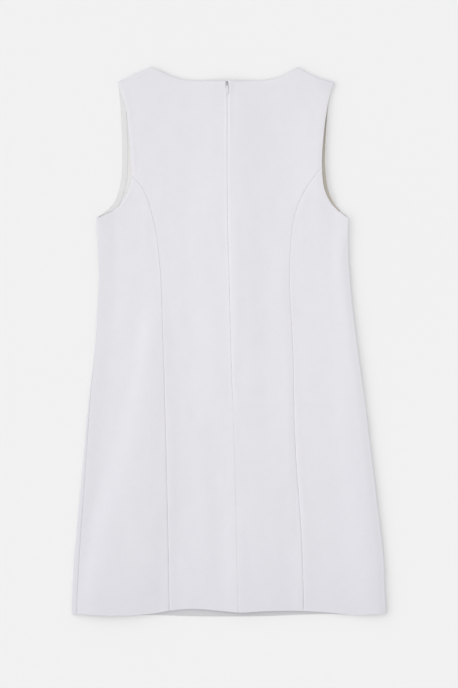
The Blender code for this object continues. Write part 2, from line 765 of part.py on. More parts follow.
def slider_place():
    level = NECK_LEVEL - SLIDER_DROP - SLIDER_LENGTH / 2
    across = CENTRE_ACROSS.at_stop(level)
    lip_top = back_height(across, level) + WALL / 2
    return Vector((across, level, lip_top + TAB_CLEARANCE + TAB_WALL / 2))


def make_slider(material):
    """Slider body between the tapes, with a square arch on top for the tab."""
    pivot = slider_place()
    body_top = pivot.z - EYE / 2
    tape_top = back_height(pivot.x + LIP_OPENING, pivot.y) - WALL / 2 - TAPE_CLEARANCE
    body_bottom = tape_top - TAPE_WALL
    mesh = bpy.data.meshes.new("zip_slider")
    sheet = bmesh.new()
    middle = Vector((0.0, 0.0, (body_top + body_bottom) / 2 - pivot.z))
    size = (SLIDER_WIDTH, SLIDER_LENGTH, body_top - body_bottom)
    bmesh.ops.create_cube(sheet, size=1.0)
    bmesh.ops.scale(sheet, verts=sheet.verts, vec=size)
    bmesh.ops.translate(sheet, verts=sheet.verts, vec=middle)
    uprights = [edge for edge in sheet.edges if edge.verts[0].co.xy == edge.verts[1].co.xy]
    bmesh.ops.bevel(sheet, geom=uprights, offset=SLIDER_CORNER, segments=SLIDER_CORNER_STEPS,
                    affect="EDGES", profile=0.5)
    sheet.to_mesh(mesh)
    sheet.free()
    mesh.materials.append(material)
    slider = bpy.data.objects.new("zip_slider", mesh)
    slider.location = pivot
    bpy.context.collection.objects.link(slider)

    arch_mesh = bpy.data.meshes.new("slider_arch_form")
    sheet = bmesh.new()
    outer = EYE / 2 + ARCH_POST
    roof = EYE / 2 + ARCH_ROOF
    foot = -EYE / 2 - ARCH_SINK
    right = [
        (EYE / 2, EYE / 2), (EYE / 2, foot), (outer, foot),
        (outer, roof - ARCH_CORNER), (outer - ARCH_CORNER, roof),
    ]
    outline = right + [(-y, z) for y, z in reversed(right)]
    face = sheet.faces.new([sheet.verts.new((-ARCH_WIDTH / 2, y, z)) for y, z in outline])
    grown = bmesh.ops.extrude_face_region(sheet, geom=[face])
    far = [item for item in grown["geom"] if isinstance(item, bmesh.types.BMVert)]
    bmesh.ops.translate(sheet, verts=far, vec=(ARCH_WIDTH, 0, 0))
    bmesh.ops.recalc_face_normals(sheet, faces=sheet.faces)
    sheet.to_mesh(arch_mesh)
    sheet.free()
    arch = bpy.data.objects.new("slider_arch_form", arch_mesh)
    arch.location = pivot
    arch.hide_render = True
    arch.display_type = "WIRE"
    bpy.context.collection.objects.link(arch)
    join = slider.modifiers.new("arch", "BOOLEAN")
    join.operation = "UNION"
    join.solver = "EXACT"
    join.object = arch
    return slider


def make_pull_tab(material):
    """Flat tab with a rounded foot; its bar passes under the slider's arch."""
    bar = TAB_WALL / 2
    half_top = TAB_TOP_WIDTH / 2
    half_foot = TAB_FOOT_WIDTH / 2
    hole = TAB_HOLE_WIDTH / 2
    hole_end = -bar - TAB_HOLE_LENGTH
    foot_centre = -TAB_LENGTH + half_foot
    mesh = bpy.data.meshes.new("zip_pull_tab")
    sheet = bmesh.new()
    outer = [(-half_top, bar), (-half_top, -bar), (-half_top, hole_end)]
    for i in range(TAB_FOOT_STEPS + 1):
        turn = math.pi + math.pi * i / TAB_FOOT_STEPS
        outer.append((half_foot * math.cos(turn), foot_centre + half_foot * math.sin(turn)))
    outer += [(half_top, hole_end), (half_top, -bar), (half_top, bar)]
    inner = [(-hole, -bar), (-hole, hole_end), (hole, hole_end), (hole, -bar)]
    outer_verts = [sheet.verts.new((x, y, -TAB_WALL / 2)) for x, y in outer]
    inner_verts = [sheet.verts.new((x, y, -TAB_WALL / 2)) for x, y in inner]
    last = len(outer_verts) - 1
    faces = [
        sheet.faces.new((outer_verts[0], outer_verts[1], inner_verts[0], inner_verts[3],
                         outer_verts[last - 1], outer_verts[last])),
        sheet.faces.new((outer_verts[1], outer_verts[2], inner_verts[1], inner_verts[0])),
        sheet.faces.new((inner_verts[3], inner_verts[2], outer_verts[last - 2], outer_verts[last - 1])),
        sheet.faces.new([inner_verts[2], inner_verts[1]] + outer_verts[2:last - 1]),
    ]
    grown = bmesh.ops.extrude_face_region(sheet, geom=faces)
    top = [item for item in grown["geom"] if isinstance(item, bmesh.types.BMVert)]
    bmesh.ops.translate(sheet, verts=top, vec=(0, 0, TAB_WALL))
    bmesh.ops.recalc_face_normals(sheet, faces=sheet.faces)
    sheet.to_mesh(mesh)
    sheet.free()
    mesh.materials.append(material)
    tab = bpy.data.objects.new("zip_pull_tab", mesh)
    tab.location = slider_place()
    bpy.context.collection.objects.link(tab)
    return tab


def main():
    clear_scene()
    cloth = make_material("cloth", CLOTH_COLOUR, CLOTH_ROUGHNESS)
    inside = make_material("front_cloth", INSIDE_COLOUR, CLOTH_ROUGHNESS)
    tape = make_material("zip_tape", TAPE_COLOUR, CLOTH_ROUGHNESS)
    enamel = make_material("enamel", ENAMEL_COLOUR, ENAMEL_ROUGHNESS, ENAMEL_METALLIC)
    slit_form = make_slit_form()
    make_front(inside)
    for side in (-1, 1):
        make_side_back(side, cloth)
        make_back(side, slit_form, cloth)
        make_tape(side, tape)
    make_slider(enamel)
    make_pull_tab(enamel)


main()
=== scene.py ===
import math

import bmesh
import bpy
import numpy as np
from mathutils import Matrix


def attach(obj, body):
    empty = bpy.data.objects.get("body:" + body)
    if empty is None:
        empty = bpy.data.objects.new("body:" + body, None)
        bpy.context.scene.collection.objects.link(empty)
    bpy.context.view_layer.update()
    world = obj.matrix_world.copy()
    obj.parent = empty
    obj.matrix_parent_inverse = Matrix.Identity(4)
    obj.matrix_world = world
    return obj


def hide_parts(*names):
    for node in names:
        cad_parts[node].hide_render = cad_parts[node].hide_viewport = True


# white crepe shift dress laid flat on its front; metres, +Y towards the neck, +Z up
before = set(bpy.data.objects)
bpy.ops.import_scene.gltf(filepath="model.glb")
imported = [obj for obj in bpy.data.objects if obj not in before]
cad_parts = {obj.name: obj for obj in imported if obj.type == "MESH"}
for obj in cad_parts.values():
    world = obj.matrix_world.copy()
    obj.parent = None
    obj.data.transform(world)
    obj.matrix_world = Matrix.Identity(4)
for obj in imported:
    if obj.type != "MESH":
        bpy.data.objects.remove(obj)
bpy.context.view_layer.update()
mm = 0.001
up = np.array((0.0, 0.0, 1.0))
print("packed dress loaded")


def inMm(rows):
    return np.array(rows, float) * mm


# how the layers lie; the solids' outer sides are kept, the cloth itself is thinner
lay = {
    "solidWall": 1.2 * mm,
    "cloth": 1.0 * mm,
    "layerGap": 0.5 * mm,
    "sideGap": 1.8 * mm,
    "seamGap": 0.06 * mm,
    "tightGap": 0.015 * mm,  # where a seam hardly shows
    "centreGap": 0.02 * mm,
    "softFrom": 1.4 * mm,
    "mostLift": 5.0 * mm,
    "sideSpread": 30 * mm,
    "shoulderSpread": 30 * mm,
    "foldEnd": 60 * mm,
    "hemSettle": 0.62,  # share of the folds' height that is left at the hem
    "hemSettleReach": 42 * mm,
    "crownLift": 1.2 * mm,
    "crownHalf": 14.5 * mm,
    "crownSlope": 55 * mm,
    "crownFade": 48 * mm,
    "tapeEnd": -102 * mm,
    "zipLong": 516 * mm,
    "lipOpening": 1.75 * mm,
    "lipLength": 9.6 * mm,
    "lipTaper": 7.5 * mm,
}
halfSolid = lay["solidWall"] / 2
foldRadius = (lay["solidWall"] + lay["sideGap"]) / 2
foldRest = 1.0 * mm  # flat stretch kept beside a fold's bend
shoulderRadius = (lay["solidWall"] + lay["layerGap"]) / 2
outerShift = (lay["solidWall"] - lay["cloth"]) / 2

# side folds: level, left, right, and how far the left and right seams lie past the fold
sideFolds = inMm([
    (-446.6, -258, 258, 8.5, -18),
    (-420, -257.5, 256.2, 8.4, -17.5),
    (-350, -253.5, 253, 8, -15.5),
    (-260, -245.2, 242.5, 6.2, -12),
    (-178, -237.7, 232.5, 4.5, -9),
    (-96, -230, 222.6, 2.4, -6),
    (-14, -220.5, 211.2, 0.8, -3.5),
    (52, -216.1, 203, 0, -1.8),
    (101, -213.9, 198.5, 0, -0.8),
    (150, -215.2, 195.7, 0, 0),
    (202, -217.2, 196, 0, 0),
])
# how round each fold lies: level, half width and lift on the left, then on the right
sideRolls = inMm([
    (-446.6, 2.2, -0.6, 3.4, 1),
    (-350, 2, -0.7, 3.2, 1),
    (-200, 1.8, -0.8, 3, 1),
    (0, 1.6, -0.8, 3, 1),
    (100, 1.5, -0.7, 2.8, 0.8),
    (160, 1.5, -0.4, 2.2, 0.3),
    (202, 1.5, 0, 1.5, 0),
])
rollReach = 45 * mm
# the right fold hovers a little over the floor and droops towards its edge
rightEdge = {"hover": 1.2 * mm, "hoverReach": 18 * mm, "droop": 1.2 * mm, "droopReach": 13 * mm,
             "top": 0.185, "fade": 0.05}
# hem: place across, front edge, back edge
hem = inMm([
    (-258, -446.6, -446.6),
    (-250, -446.6, -446.6),
    (-196, -449, -449),
    (-130, -448.6, -446.4),
    (-97.2, -449, -441.2),
    (-60, -450, -438.3),
    (-15, -450.6, -441.6),
    (18, -450.6, -444.4),
    (60, -450, -442),
    (116, -447.8, -441.4),
    (164, -446.8, -444.4),
    (205, -448.4, -448),
    (240, -446.6, -446.6),
    (258, -446.6, -446.6),
])
# seams and edges by side, -1 left and 1 right, from the bottom up
princessSeam = {
    -1: inMm([(-98, -441.2), (-100, -325), (-103.7, -161.5), (-107.8, -13.9), (-112.3, 100.9),
              (-118.4, 165), (-126.5, 205), (-134.5, 233), (-144, 253), (-160, 270)]),
    1: inMm([(122.5, -441.6), (118.7, -325), (107.8, -161.5), (104.6, -13.9), (99.1, 100.9),
             (102.2, 170), (108.5, 210), (119, 238), (135, 264), (152, 285)]),
}
backArmhole = {
    -1: inMm([(-217.2, 202), (-198.3, 209.5), (-180.5, 223.1), (-166.4, 246), (-160, 270),
              (-161.2, 300), (-164.5, 340), (-170, 385), (-182.5, 424)]),
    1: inMm([(196, 202), (181, 212), (165.5, 229), (155.2, 253), (152, 285), (152.8, 316), (157.1, 360),
             (163.7, 398), (172.1, 425)]),
}
frontArmhole = {
    -1: inMm([(-217.2, 202), (-204, 211.5), (-191.2, 224), (-182, 244), (-176.6, 270), (-175.4, 300),
              (-176.1, 340), (-178.5, 390), (-182.5, 424)]),
    1: inMm([(196, 202), (186.2, 211), (177.2, 221), (169.3, 234.5), (164, 248), (160.8, 264),
             (159, 283.7), (158.5, 303.4), (159, 328), (160.6, 356), (162.8, 384), (166.3, 404),
             (172.1, 425)]),
}
princessJoin = 4  # point of the back armhole that the princess seam meets
centreBack = inMm([(14, -443), (11.1, -292.7), (7.8, -161.5), (2.9, -13.9), (0.1, 100.9), (-2.6, 202),
                   (-3.2, 300), (-3.1, 390), (-3.7, 413), (-3.7, 428)])
backNeck = inMm([(-128.3, 449.5), (-113.6, 443.4), (-95, 435.3), (-68, 428.5), (-3.7, 427.5),
                 (54, 428.1), (83.2, 434), (100, 442.8), (113, 449.5)])
neckCentre = 4
frontNeckDrop = 18 * mm
frontNeckFlatness = 1.6

# broad folds: top x, top y, foot x, foot y, bow, lift at top and foot, reach left and right,
# share of the reach at the top
broadFolds = [
    (-125, 60, -218, -470, 18, 1.2, 6, 86, 128, 0.27),
    (-55, 190, -30, -100, 6, 0.3, 0.2, 40, 30, 0.6),
    (-45, -150, -32, -470, 3, 0.2, 1.1, 45, 40, 0.6),
    (12, -120, 30, -470, 2, 0.4, 3.4, 66, 118, 0.6),
    (85, 130, 108, -320, -4, 0.5, 0.4, 45, 18, 0.6),
    (125, -240, 118, -470, 3, 0.3, 1.2, 30, 55, 0.6),
    (175, 50, 240, -470, 4, 0.4, 2.2, 56, 50, 0.6),
    (150, 245, 145, 130, 0, 0.5, 0.3, 40, 40, 0.6),
]


def ease(t):
    t = np.clip(t, 0.0, 1.0)
    return t * t * (3.0 - 2.0 * t)


def fade(t):
    return 1.0 - ease(t)


def blend(first, second, t):
    return first + (second - first) * t


def between(value, span):
    # 1 between the span's low and high end; it fades within its last two measures
    low, high, lowFade, highFade = span
    return ease((value - low) / lowFade) * ease((high - value) / highFade)


def joined(*parts):
    return np.stack(parts, axis=-1)


def unit(vectors):
    return vectors / np.linalg.norm(vectors, axis=-1, keepdims=True)


def leftOf(run):
    return joined(-run[:, 1], run[:, 0])


def sideName(start, side, end=""):
    return start + ("Left" if side < 0 else "Right") + end


def sideNode(start, side):
    return start + ("left" if side < 0 else "right")


def smoothLine(values, stops=None):
    if stops is None:
        steps = np.linalg.norm(np.diff(values, axis=0), axis=1)
        stops = np.concatenate(([0.0], np.cumsum(steps)))
    last = len(stops) - 1
    before = np.maximum(np.arange(last + 1) - 1, 0)
    after = np.minimum(np.arange(last + 1) + 1, last)
    span = stops[after] - stops[before]
    slopes = (values[after] - values[before]) / (span if values.ndim == 1 else span[:, None])
    return {"values": values, "stops": stops, "slopes": slopes}


def readLine(line, stop):
    values, stops, slopes = line["values"], line["stops"], line["slopes"]
    stop = np.clip(stop, stops[0], stops[-1])
    i = np.clip(np.searchsorted(stops, stop) - 1, 0, len(stops) - 2)
    step = stops[i + 1] - stops[i]
    t = (stop - stops[i]) / step
    if values.ndim == 2:
        step, t = step[..., None], t[..., None]
    square, cube = t * t, t * t * t
    return (
        values[i] * (2 * cube - 3 * square + 1)
        + slopes[i] * step * (cube - 2 * square + t)
        + values[i + 1] * (3 * square - 2 * cube)
        + slopes[i + 1] * step * (cube - square)
    )


def atShare(line, share):
    return readLine(line, blend(line["stops"][0], line["stops"][-1], np.asarray(share, float)))


def columnLines(rows, names, columns):
    # lines over a table's first column, one for each name
    return {name: smoothLine(rows[:, column], rows[:, 0]) for name, column in zip(names, columns)}


sideLine = columnLines(sideFolds, (-1, 1), (1, 2))
sideTurn = columnLines(sideFolds, (-1, 1), (3, 4))
rollWide = columnLines(sideRolls, (-1, 1), (1, 3))
rollLift = columnLines(sideRolls, (-1, 1), (2, 4))
hemLine = columnLines(hem, ("front", "back"), (1, 2))
princessLine = {side: smoothLine(points) for side, points in princessSeam.items()}
armLine = {side: smoothLine(points) for side, points in backArmhole.items()}
frontArmLine = {side: smoothLine(points) for side, points in frontArmhole.items()}
centreLine = smoothLine(centreBack)
centreAcross = smoothLine(*centreBack.T)
armAcross = {side: smoothLine(*points.T) for side, points in backArmhole.items()}
frontArmAcross = smoothLine(*frontArmhole[1].T)
neckLine = smoothLine(backNeck)
neckAcross = smoothLine(*backNeck.T[::-1])
neckLevel = centreBack[-1][1]
zipEnd = neckLevel - lay["zipLong"]
hemLevel = sideFolds[0, 0]
underarmLevel = sideFolds[-1, 0]
shoulderTip = {side: backArmhole[side][-1] for side in (-1, 1)}
neckPoint = {-1: backNeck[0], 1: backNeck[-1]}


def depthFromSides(x, y):
    # way in from the nearer side fold
    level = np.minimum(y, underarmLevel)
    rise = np.maximum(y - underarmLevel, 0.0)
    left = np.hypot(np.maximum(x - readLine(sideLine[-1], level) - halfSolid, 0.0), rise)
    right = np.hypot(np.maximum(readLine(sideLine[1], level) - halfSolid - x, 0.0), rise)
    return np.minimum(left, right)


def foldLift(fold, x, y):
    topX, topY, footX, footY, bow, topLift, footLift, leftReach, rightReach = inMm(fold[:-1])
    line = np.clip((topY - y) / (topY - footY), 0.0, 1.0)
    middle = blend(topX, footX, line) + bow * 4 * line * (1 - line)
    reach = np.where(x < middle, leftReach, rightReach) * blend(fold[-1], 1.0, line)
    across = (1.0 + np.cos(np.pi * np.minimum(np.abs(x - middle) / reach, 1.0))) / 2
    pastTop = ease((topY + lay["foldEnd"] - y) / (2 * lay["foldEnd"]))
    pastFoot = ease((y - footY + lay["foldEnd"]) / lay["foldEnd"])
    return blend(topLift, footLift, line) * pastTop * pastFoot * across


def crownLift(x, y):
    away = np.abs(x - readLine(centreAcross, y)) - lay["crownHalf"]
    across = fade(away / lay["crownSlope"])
    along = ease((y - lay["tapeEnd"] + lay["foldEnd"]) / lay["crownFade"])
    return lay["crownLift"] * across * along


# how far each shoulder seam sags inwards from a straight line
shoulderSag = {-1: -1.2 * mm, 1: 3.4 * mm}
shoulderOut = {side: unit((neckPoint[side] - shoulderTip[side])[::-1] * (1, -1)) * side
               for side in (-1, 1)}


def sagAt(side, share):
    return shoulderSag[side] * 4 * share * (1 - share)


def shoulderPoints(side, share):
    return blend(shoulderTip[side], neckPoint[side], share) - sagAt(side, share) * shoulderOut[side]


def shoulderShare(side, point):
    # how far along a shoulder a point lies, from the tip to the neck
    along = neckPoint[side] - shoulderTip[side]
    return (point - shoulderTip[side]) @ along / (along @ along)


def shoulderDepth(x, y):
    point = joined(x, y)
    depths = []
    for side in (-1, 1):
        share = np.clip(shoulderShare(side, point), 0.0, 1.0)
        offset = point - blend(shoulderTip[side], neckPoint[side], share[..., None])
        inwards = -(offset @ shoulderOut[side])
        beyond = np.sqrt(np.maximum((offset ** 2).sum(axis=-1) - inwards ** 2, 0.0))
        depths.append(np.hypot(np.maximum(inwards - sagAt(side, share), 0.0), beyond))
    return np.minimum(*depths)


def backHeight(x, y):
    # height of the back's middle over the floor
    inside = ease((depthFromSides(x, y) - foldRadius) / lay["sideSpread"])
    swell = (lay["sideGap"] - lay["layerGap"]) * (1.0 - inside)
    folds = sum(foldLift(fold, x, y) for fold in broadFolds) * inside
    folds = folds * ease((shoulderDepth(x, y) - shoulderRadius) / lay["shoulderSpread"])
    folds = folds * blend(lay["hemSettle"], 1.0, ease((y - hemLevel) / lay["hemSettleReach"]))
    lift = swell + folds + crownLift(x, y)
    room = lay["mostLift"] - lay["softFrom"]
    held = lay["softFrom"] + room * (1.0 - np.exp(np.minimum(lay["softFrom"] - lift, 0.0) / room))
    return lay["solidWall"] * 1.5 + lay["layerGap"] + np.where(lift < lay["softFrom"], lift, held)


def sideEdge(side, level):
    # outermost line of the cloth's middle at a side fold
    return joined(readLine(sideLine[side], level) - side * halfSolid, level)


def clothHeight(x, y):
    # the back's middle with all that its sides, armholes, zip and neck edge add
    level = np.clip(y, hemLevel, underarmLevel)
    total = backHeight(x, y)
    for side in (-1, 1):
        away = side * (sideEdge(side, level)[..., 0] - x)
        total = total + readLine(rollLift[side], level) * fade((away - 8 * mm) / rollReach)
    total = total - rightEdge["droop"] * rightEdgeShare(x, y, rightEdge["droopReach"])
    return total + armholeLift(x, y) + zipSwell(x, y) - neckDroop(x, y)


# the back's neck edge droops to the floor past the front's lower neck edge, but not at the zip
neckEdge = {"droop": 1.2 * mm, "reach": 10 * mm, "zipHalf": 6 * mm, "zipFade": 34 * mm}


def frontNeckShare(x):
    # how far the front's neck edge lies below the back's, as a share of its drop
    half = (neckPoint[1][0] - neckPoint[-1][0]) / 2
    away = np.abs(x - (neckPoint[1][0] + neckPoint[-1][0]) / 2) / half
    return ease((1.0 - away) * frontNeckFlatness)


def neckDroop(x, y):
    away = readLine(neckAcross, x) - y
    besideZip = ease((np.abs(x - centreBack[-1][0]) - neckEdge["zipHalf"]) / neckEdge["zipFade"])
    near = fade(away / neckEdge["reach"])
    return neckEdge["droop"] * near * besideZip * frontNeckShare(x)


def frontHeight(x, y):
    hover = rightEdge["hover"] * rightEdgeShare(x, y, rightEdge["hoverReach"])
    return halfSolid + hover + standingLift(x, y)


# the front's edge stands up along the right armhole, so a narrow shaded groove shows beside it
standingEdge = {"lift": 2.3 * mm, "reach": 3.4 * mm, "along": (0.209, 0.396, 0.03, 0.05)}


def standingLift(x, y):
    low, high = frontArmAcross["stops"][0], frontArmAcross["stops"][-1]
    step = 1 * mm
    lower = readLine(frontArmAcross, np.clip(y - step, low, high))
    upper = readLine(frontArmAcross, np.clip(y + step, low, high))
    slope = (upper - lower) / (2 * step)
    away = ((lower + upper) / 2 - x) / np.sqrt(1.0 + slope ** 2)
    along = between(y, standingEdge["along"])
    return standingEdge["lift"] * along * fade(away / standingEdge["reach"])


def rightEdgeShare(x, y, reach):
    away = sideEdge(1, np.clip(y, hemLevel, underarmLevel))[..., 0] - x
    return fade(away / reach) * ease((rightEdge["top"] - y) / rightEdge["fade"])


# the back rises towards its right armhole and droops a little at the very edge
liftedEdge = {"lift": 1.9 * mm, "reach": 65 * mm, "along": (0.214, 0.400, 0.035, 0.035),
              "droop": 0.45 * mm, "droopReach": 9 * mm}
# where the back's armhole edges press down on the front, on each side
pressedEdge = {"droop": 0.3 * mm, "reach": 6 * mm,
               "along": {-1: (0.212, 0.430, 0.02, 0.02), 1: (0.375, 0.430, 0.02, 0.02)}}


def armAway(side, x, y):
    line = armAcross[side]
    return np.abs(readLine(line, np.clip(y, line["stops"][0], line["stops"][-1])) - x)


def armholeLift(x, y):
    total = rightArmholeLift(x, y)
    for side, span in pressedEdge["along"].items():
        near = fade(armAway(side, x, y) / pressedEdge["reach"])
        total = total - pressedEdge["droop"] * near * between(y, span)
    return total


def rightArmholeLift(x, y):
    away = armAway(1, x, y)
    lift = liftedEdge["lift"] * fade(away / liftedEdge["reach"])
    droop = liftedEdge["droop"] * fade(away / liftedEdge["droopReach"])
    return between(y, liftedEdge["along"]) * (lift - droop)


# the cloth swells over the zip, most on its right
swell = {"lift": 0.95 * mm, "from": -13 * mm, "crest": 11 * mm, "reach": 75 * mm,
         "along": (-0.05, 0.405, 0.08, 0.022)}


def zipSwell(x, y):
    away = x - readLine(centreAcross, y)
    rise = ease((away - swell["from"]) / (swell["crest"] - swell["from"]))
    fall = fade((away - swell["crest"]) / swell["reach"])
    return swell["lift"] * rise * fall * between(y, swell["along"])


def shoulderOutward(x):
    ways = {side: np.append(shoulderOut[side], 0.0) for side in (-1, 1)}
    return np.where((x < 0)[..., None], ways[-1], ways[1])


def layPoints(x, y, way):
    # middle points and outward directions of the back (way 1) or the front (way -1)
    step = 0.5 * mm
    height = clothHeight if way > 0 else frontHeight
    z = height(x, y)
    slopeX = height(x - step, y) - height(x + step, y)
    slopeY = height(x, y - step) - height(x, y + step)
    out = unit(joined(slopeX, slopeY, np.full_like(x, 2 * step))) * way
    inward = np.clip(1.0 - shoulderDepth(x, y) / shoulderRadius, 0.0, 1.0)
    level = np.sqrt(1.0 - inward * inward)
    turn = np.minimum(shoulderRadius * (1.0 - level), shoulderRadius - lay["seamGap"] / 2)
    out = unit(out * level[..., None] + shoulderOutward(x) * inward[..., None])
    return joined(x, y, z - way * turn), out


def foldHalf(edge, inward, wide):
    # half height of a side fold, up to the back that lies beside it
    top = edge + inward * wide[..., None]
    return (clothHeight(top[..., 0], top[..., 1]) - frontHeight(top[..., 0], top[..., 1])) / 2


def quarterLength(wide, high):
    return np.pi / 4 * (3 * (wide + high) - np.sqrt((3 * wide + high) * (wide + 3 * high)))


def foldPoints(edge, inward, belt, wide, high):
    # points round a side fold; belt is the way along the cloth from the fold's outermost line
    edge, inward = (np.broadcast_to(rows[:, None], belt.shape + (2,)) for rows in (edge, inward))
    wide, high = wide[:, None], high[:, None]
    quarter = quarterLength(wide, high)
    turn = np.clip(belt / quarter, -1.0, 1.0) * np.pi / 2
    flat = np.abs(belt) > quarter
    depth = np.where(flat, wide + np.abs(belt) - quarter, wide * (1.0 - np.cos(turn)))
    x = edge[..., 0] + inward[..., 0] * depth
    y = edge[..., 1] + inward[..., 1] * depth
    foot = edge + inward * wide[..., None]
    z = frontHeight(foot[..., 0], foot[..., 1]) + high * (1.0 + np.sin(turn))
    points = joined(x, y, z)
    inward3 = np.concatenate((inward, np.zeros(inward.shape[:-1] + (1,))), axis=-1)
    out = unit(up * (wide * np.sin(turn))[..., None] - inward3 * (high * np.cos(turn))[..., None])
    for way in (1, -1):
        onFlat = (flat & (belt * way > 0))[..., None]
        flatPoints, flatOut = layPoints(x, y, way)
        points = np.where(onFlat, flatPoints, points)
        out = np.where(onFlat, flatOut, out)
    return points, out


# small form in the cloth, laid over the broad folds
# creases: start x, y, end x, y, bow, half width, height (below zero a trough)
creases = [
    (11, 245, 13.2, 10, 1, 8, 0.32), (10, 60, 12, -180, 0.5, 6.5, 0.2),
    (-13, 408, -12, 230, 0.6, 6, 0.16), (-15, 210, -10, 30, -1, 6, 0.1),
    (-118, 65, -142, -50, -3, 13, 0.3), (-150, 10, -190, -140, -4, 11, 0.22),
    (-109, -30, -113, -210, -1, 6, -0.28), (-93, -50, -90, -330, 1, 7, 0.22),
    (-190, -210, -150, -410, 5, 15, -0.26), (-124, -300, -130, -435, 2, 9, 0.2),
    (-70, -350, -62, -440, -2, 10, 0.28), (-15, -260, -8, -440, 2, 10, -0.2),
    (33, -320, 45, -440, 3, 11, -0.3), (70, -220, 80, -420, 2, 12, 0.18),
    (94, 70, 100, -160, -1, 7, 0.26), (113, -100, 126, -330, 1, 6, 0.22),
    (101, -60, 115, -400, 1, 5.5, -0.24), (142, -220, 150, -430, 4, 13, -0.28),
    (185, -50, 210, -300, 6, 15, 0.22), (136, 252, 112, 190, 3, 5.5, 0.22),
    (123, 215, 113, 100, 2, 8, 0.16), (-156, 262, -130, 200, -3, 6, 0.22),
    (-140, 210, -128, 110, -2, 9, 0.18), (-205, 190, -185, 130, 2, 9, 0.2),
    (-200, 120, -204, 10, 2, 10, -0.16), (185, 190, 175, 120, -2, 9, 0.18),
    (170, 90, 186, -10, 2, 12, -0.18), (-90, 415, -60, 340, 2, 12, 0.14),
    (70, 410, 50, 300, 4, 13, 0.16), (-45, 330, -70, 220, -3, 13, -0.12),
    (60, 260, 75, 150, 3, 12, 0.12), (135, 390, 125, 320, 2, 10, 0.18),
    (-150, 390, -135, 310, 2, 10, 0.14),
]
# uneven lie: wave length, direction in degrees, phase, height
unevenWaves = [(93, 12, 0.4, 0.11), (61, 103, 1.9, 0.08), (47, 64, 3.1, 0.06),
               (34, 151, 5, 0.04), (23, 28, 2.2, 0.022), (17, 97, 4.1, 0.014)]


def creaseLift(crease, x, y):
    startX, startY, endX, endY, bow, halfWidth, height = inMm(crease)
    runX, runY = endX - startX, endY - startY
    length = math.hypot(runX, runY)
    along = ((x - startX) * runX + (y - startY) * runY) / length ** 2
    away = ((x - startX) * runY - (y - startY) * runX) / length - bow * 4 * along * (1 - along)
    ends = ease(along / 0.35 + 0.15) * ease((1.0 - along) / 0.35 + 0.15)
    return height * ends * np.exp(-(away / halfWidth) ** 2)


def unevenLift(x, y):
    total = np.zeros_like(x)
    for wave, degrees, phase, height in unevenWaves:
        wave, turn = wave * mm, math.radians(degrees)
        run = x * math.cos(turn) + y * math.sin(turn)
        side = y * math.cos(turn) - x * math.sin(turn)
        run = run + 0.3 * wave * np.sin(2 * np.pi * side / (1.7 * wave) + phase)
        total += height * mm * np.sin(2 * np.pi * run / wave + phase)
    return total


def seamRipple(y):
    # uneven pull of the stitches, the same on both sides of a seam
    return (
        np.sin(2 * np.pi * y / 0.0131 + 1.7 * np.sin(y / 0.031))
        + 0.7 * np.sin(2 * np.pi * y / 0.0213 + 2.3 * np.sin(y / 0.047) + 1.0)
        + 0.4 * np.sin(2 * np.pi * y / 0.0077 + 3.0)
    ) / 2.1


# what sewing does to the cloth near its seams and edges
sewing = {
    "seamDip": 0.42 * mm,
    "seamDipWidth": 1.3 * mm,
    "rippleHeight": 0.075 * mm,
    "rippleReach": 7 * mm,
    "seamAllowance": 11 * mm,  # pressed open under the panels
    "allowanceHeight": 0.10 * mm,
    "turned": (7.5 * mm, 0.16 * mm),  # width and height of the neck and armhole turnings
    "hemmed": (30 * mm, 0.12 * mm),
    "seamRadius": 0.24 * mm,
    "stepHeight": 0.26 * mm,  # the left princess seam steps up in its upper part
    "stepWidth": 3.2 * mm,
    "stepFrom": 30 * mm,
    "stepFade": 70 * mm,
}


# how strongly the princess seams show: level, left and right
seamStrength = np.array([
    (-0.45, 0.85, 0.95), (-0.20, 0.90, 0.90), (-0.08, 0.90, 0.75), (0.05, 0.40, 0.70),
    (0.12, 0.05, 0.65), (0.30, 0.05, 0.60),
])


def princessStrength(side, y):
    column = 1 if side < 0 else 2
    return np.interp(y, seamStrength[:, 0], seamStrength[:, column])


def shownShare(side, y):
    # from 0, where a princess seam hardly shows, to 1
    return ease(princessStrength(side, y) / 0.6)


def seamTightness(side, y):
    # a weak seam also has a narrow groove
    return blend(8.0, 1.0, shownShare(side, y))


def seamForm(away, y, strength=1.0):
    dip = -sewing["seamDip"] * np.exp(-(away / sewing["seamDipWidth"]) ** 1.6)
    ripple = sewing["rippleHeight"] * seamRipple(y) * np.exp(-away / sewing["rippleReach"])
    edge = sewing["seamAllowance"]
    allowance = sewing["allowanceHeight"] * fade((away - edge + 1.2 * mm) / (2.4 * mm))
    return (dip + ripple + allowance) * strength


def turnedForm(away, kind, wider=0.0):
    # soft ridge over a turned edge, ending in a faint hollow
    width, height = sewing[kind]
    width += wider
    ridge = height * fade((away - width + 1.5 * mm) / (3.0 * mm))
    hollow = -0.45 * height * np.exp(-((away - width - 1.2 * mm) / (1.0 * mm)) ** 2)
    return ridge + hollow


def spread(place, spacing, count):
    # count steps from the first place to the last, each as long as the spacing says
    crowd = 1.0 / spacing
    total = np.concatenate(([0.0], np.cumsum((crowd[1:] + crowd[:-1]) / 2 * np.diff(place))))
    return np.interp(np.linspace(0.0, total[-1], count + 1), total, place)


def gradedShares(lengths, count, startFine, endFine, growth=0.30, coarse=6 * mm):
    # shares from 0 to 1 for each length, crowded at its ends
    shares = []
    for length in np.atleast_1d(lengths):
        place = length * (0.5 - 0.5 * np.cos(np.linspace(0.0, np.pi, 700)))
        spacing = np.minimum(startFine + growth * place, endFine + growth * (length - place))
        shares.append(spread(place, np.minimum(spacing, coarse), count) / length)
    return np.array(shares)


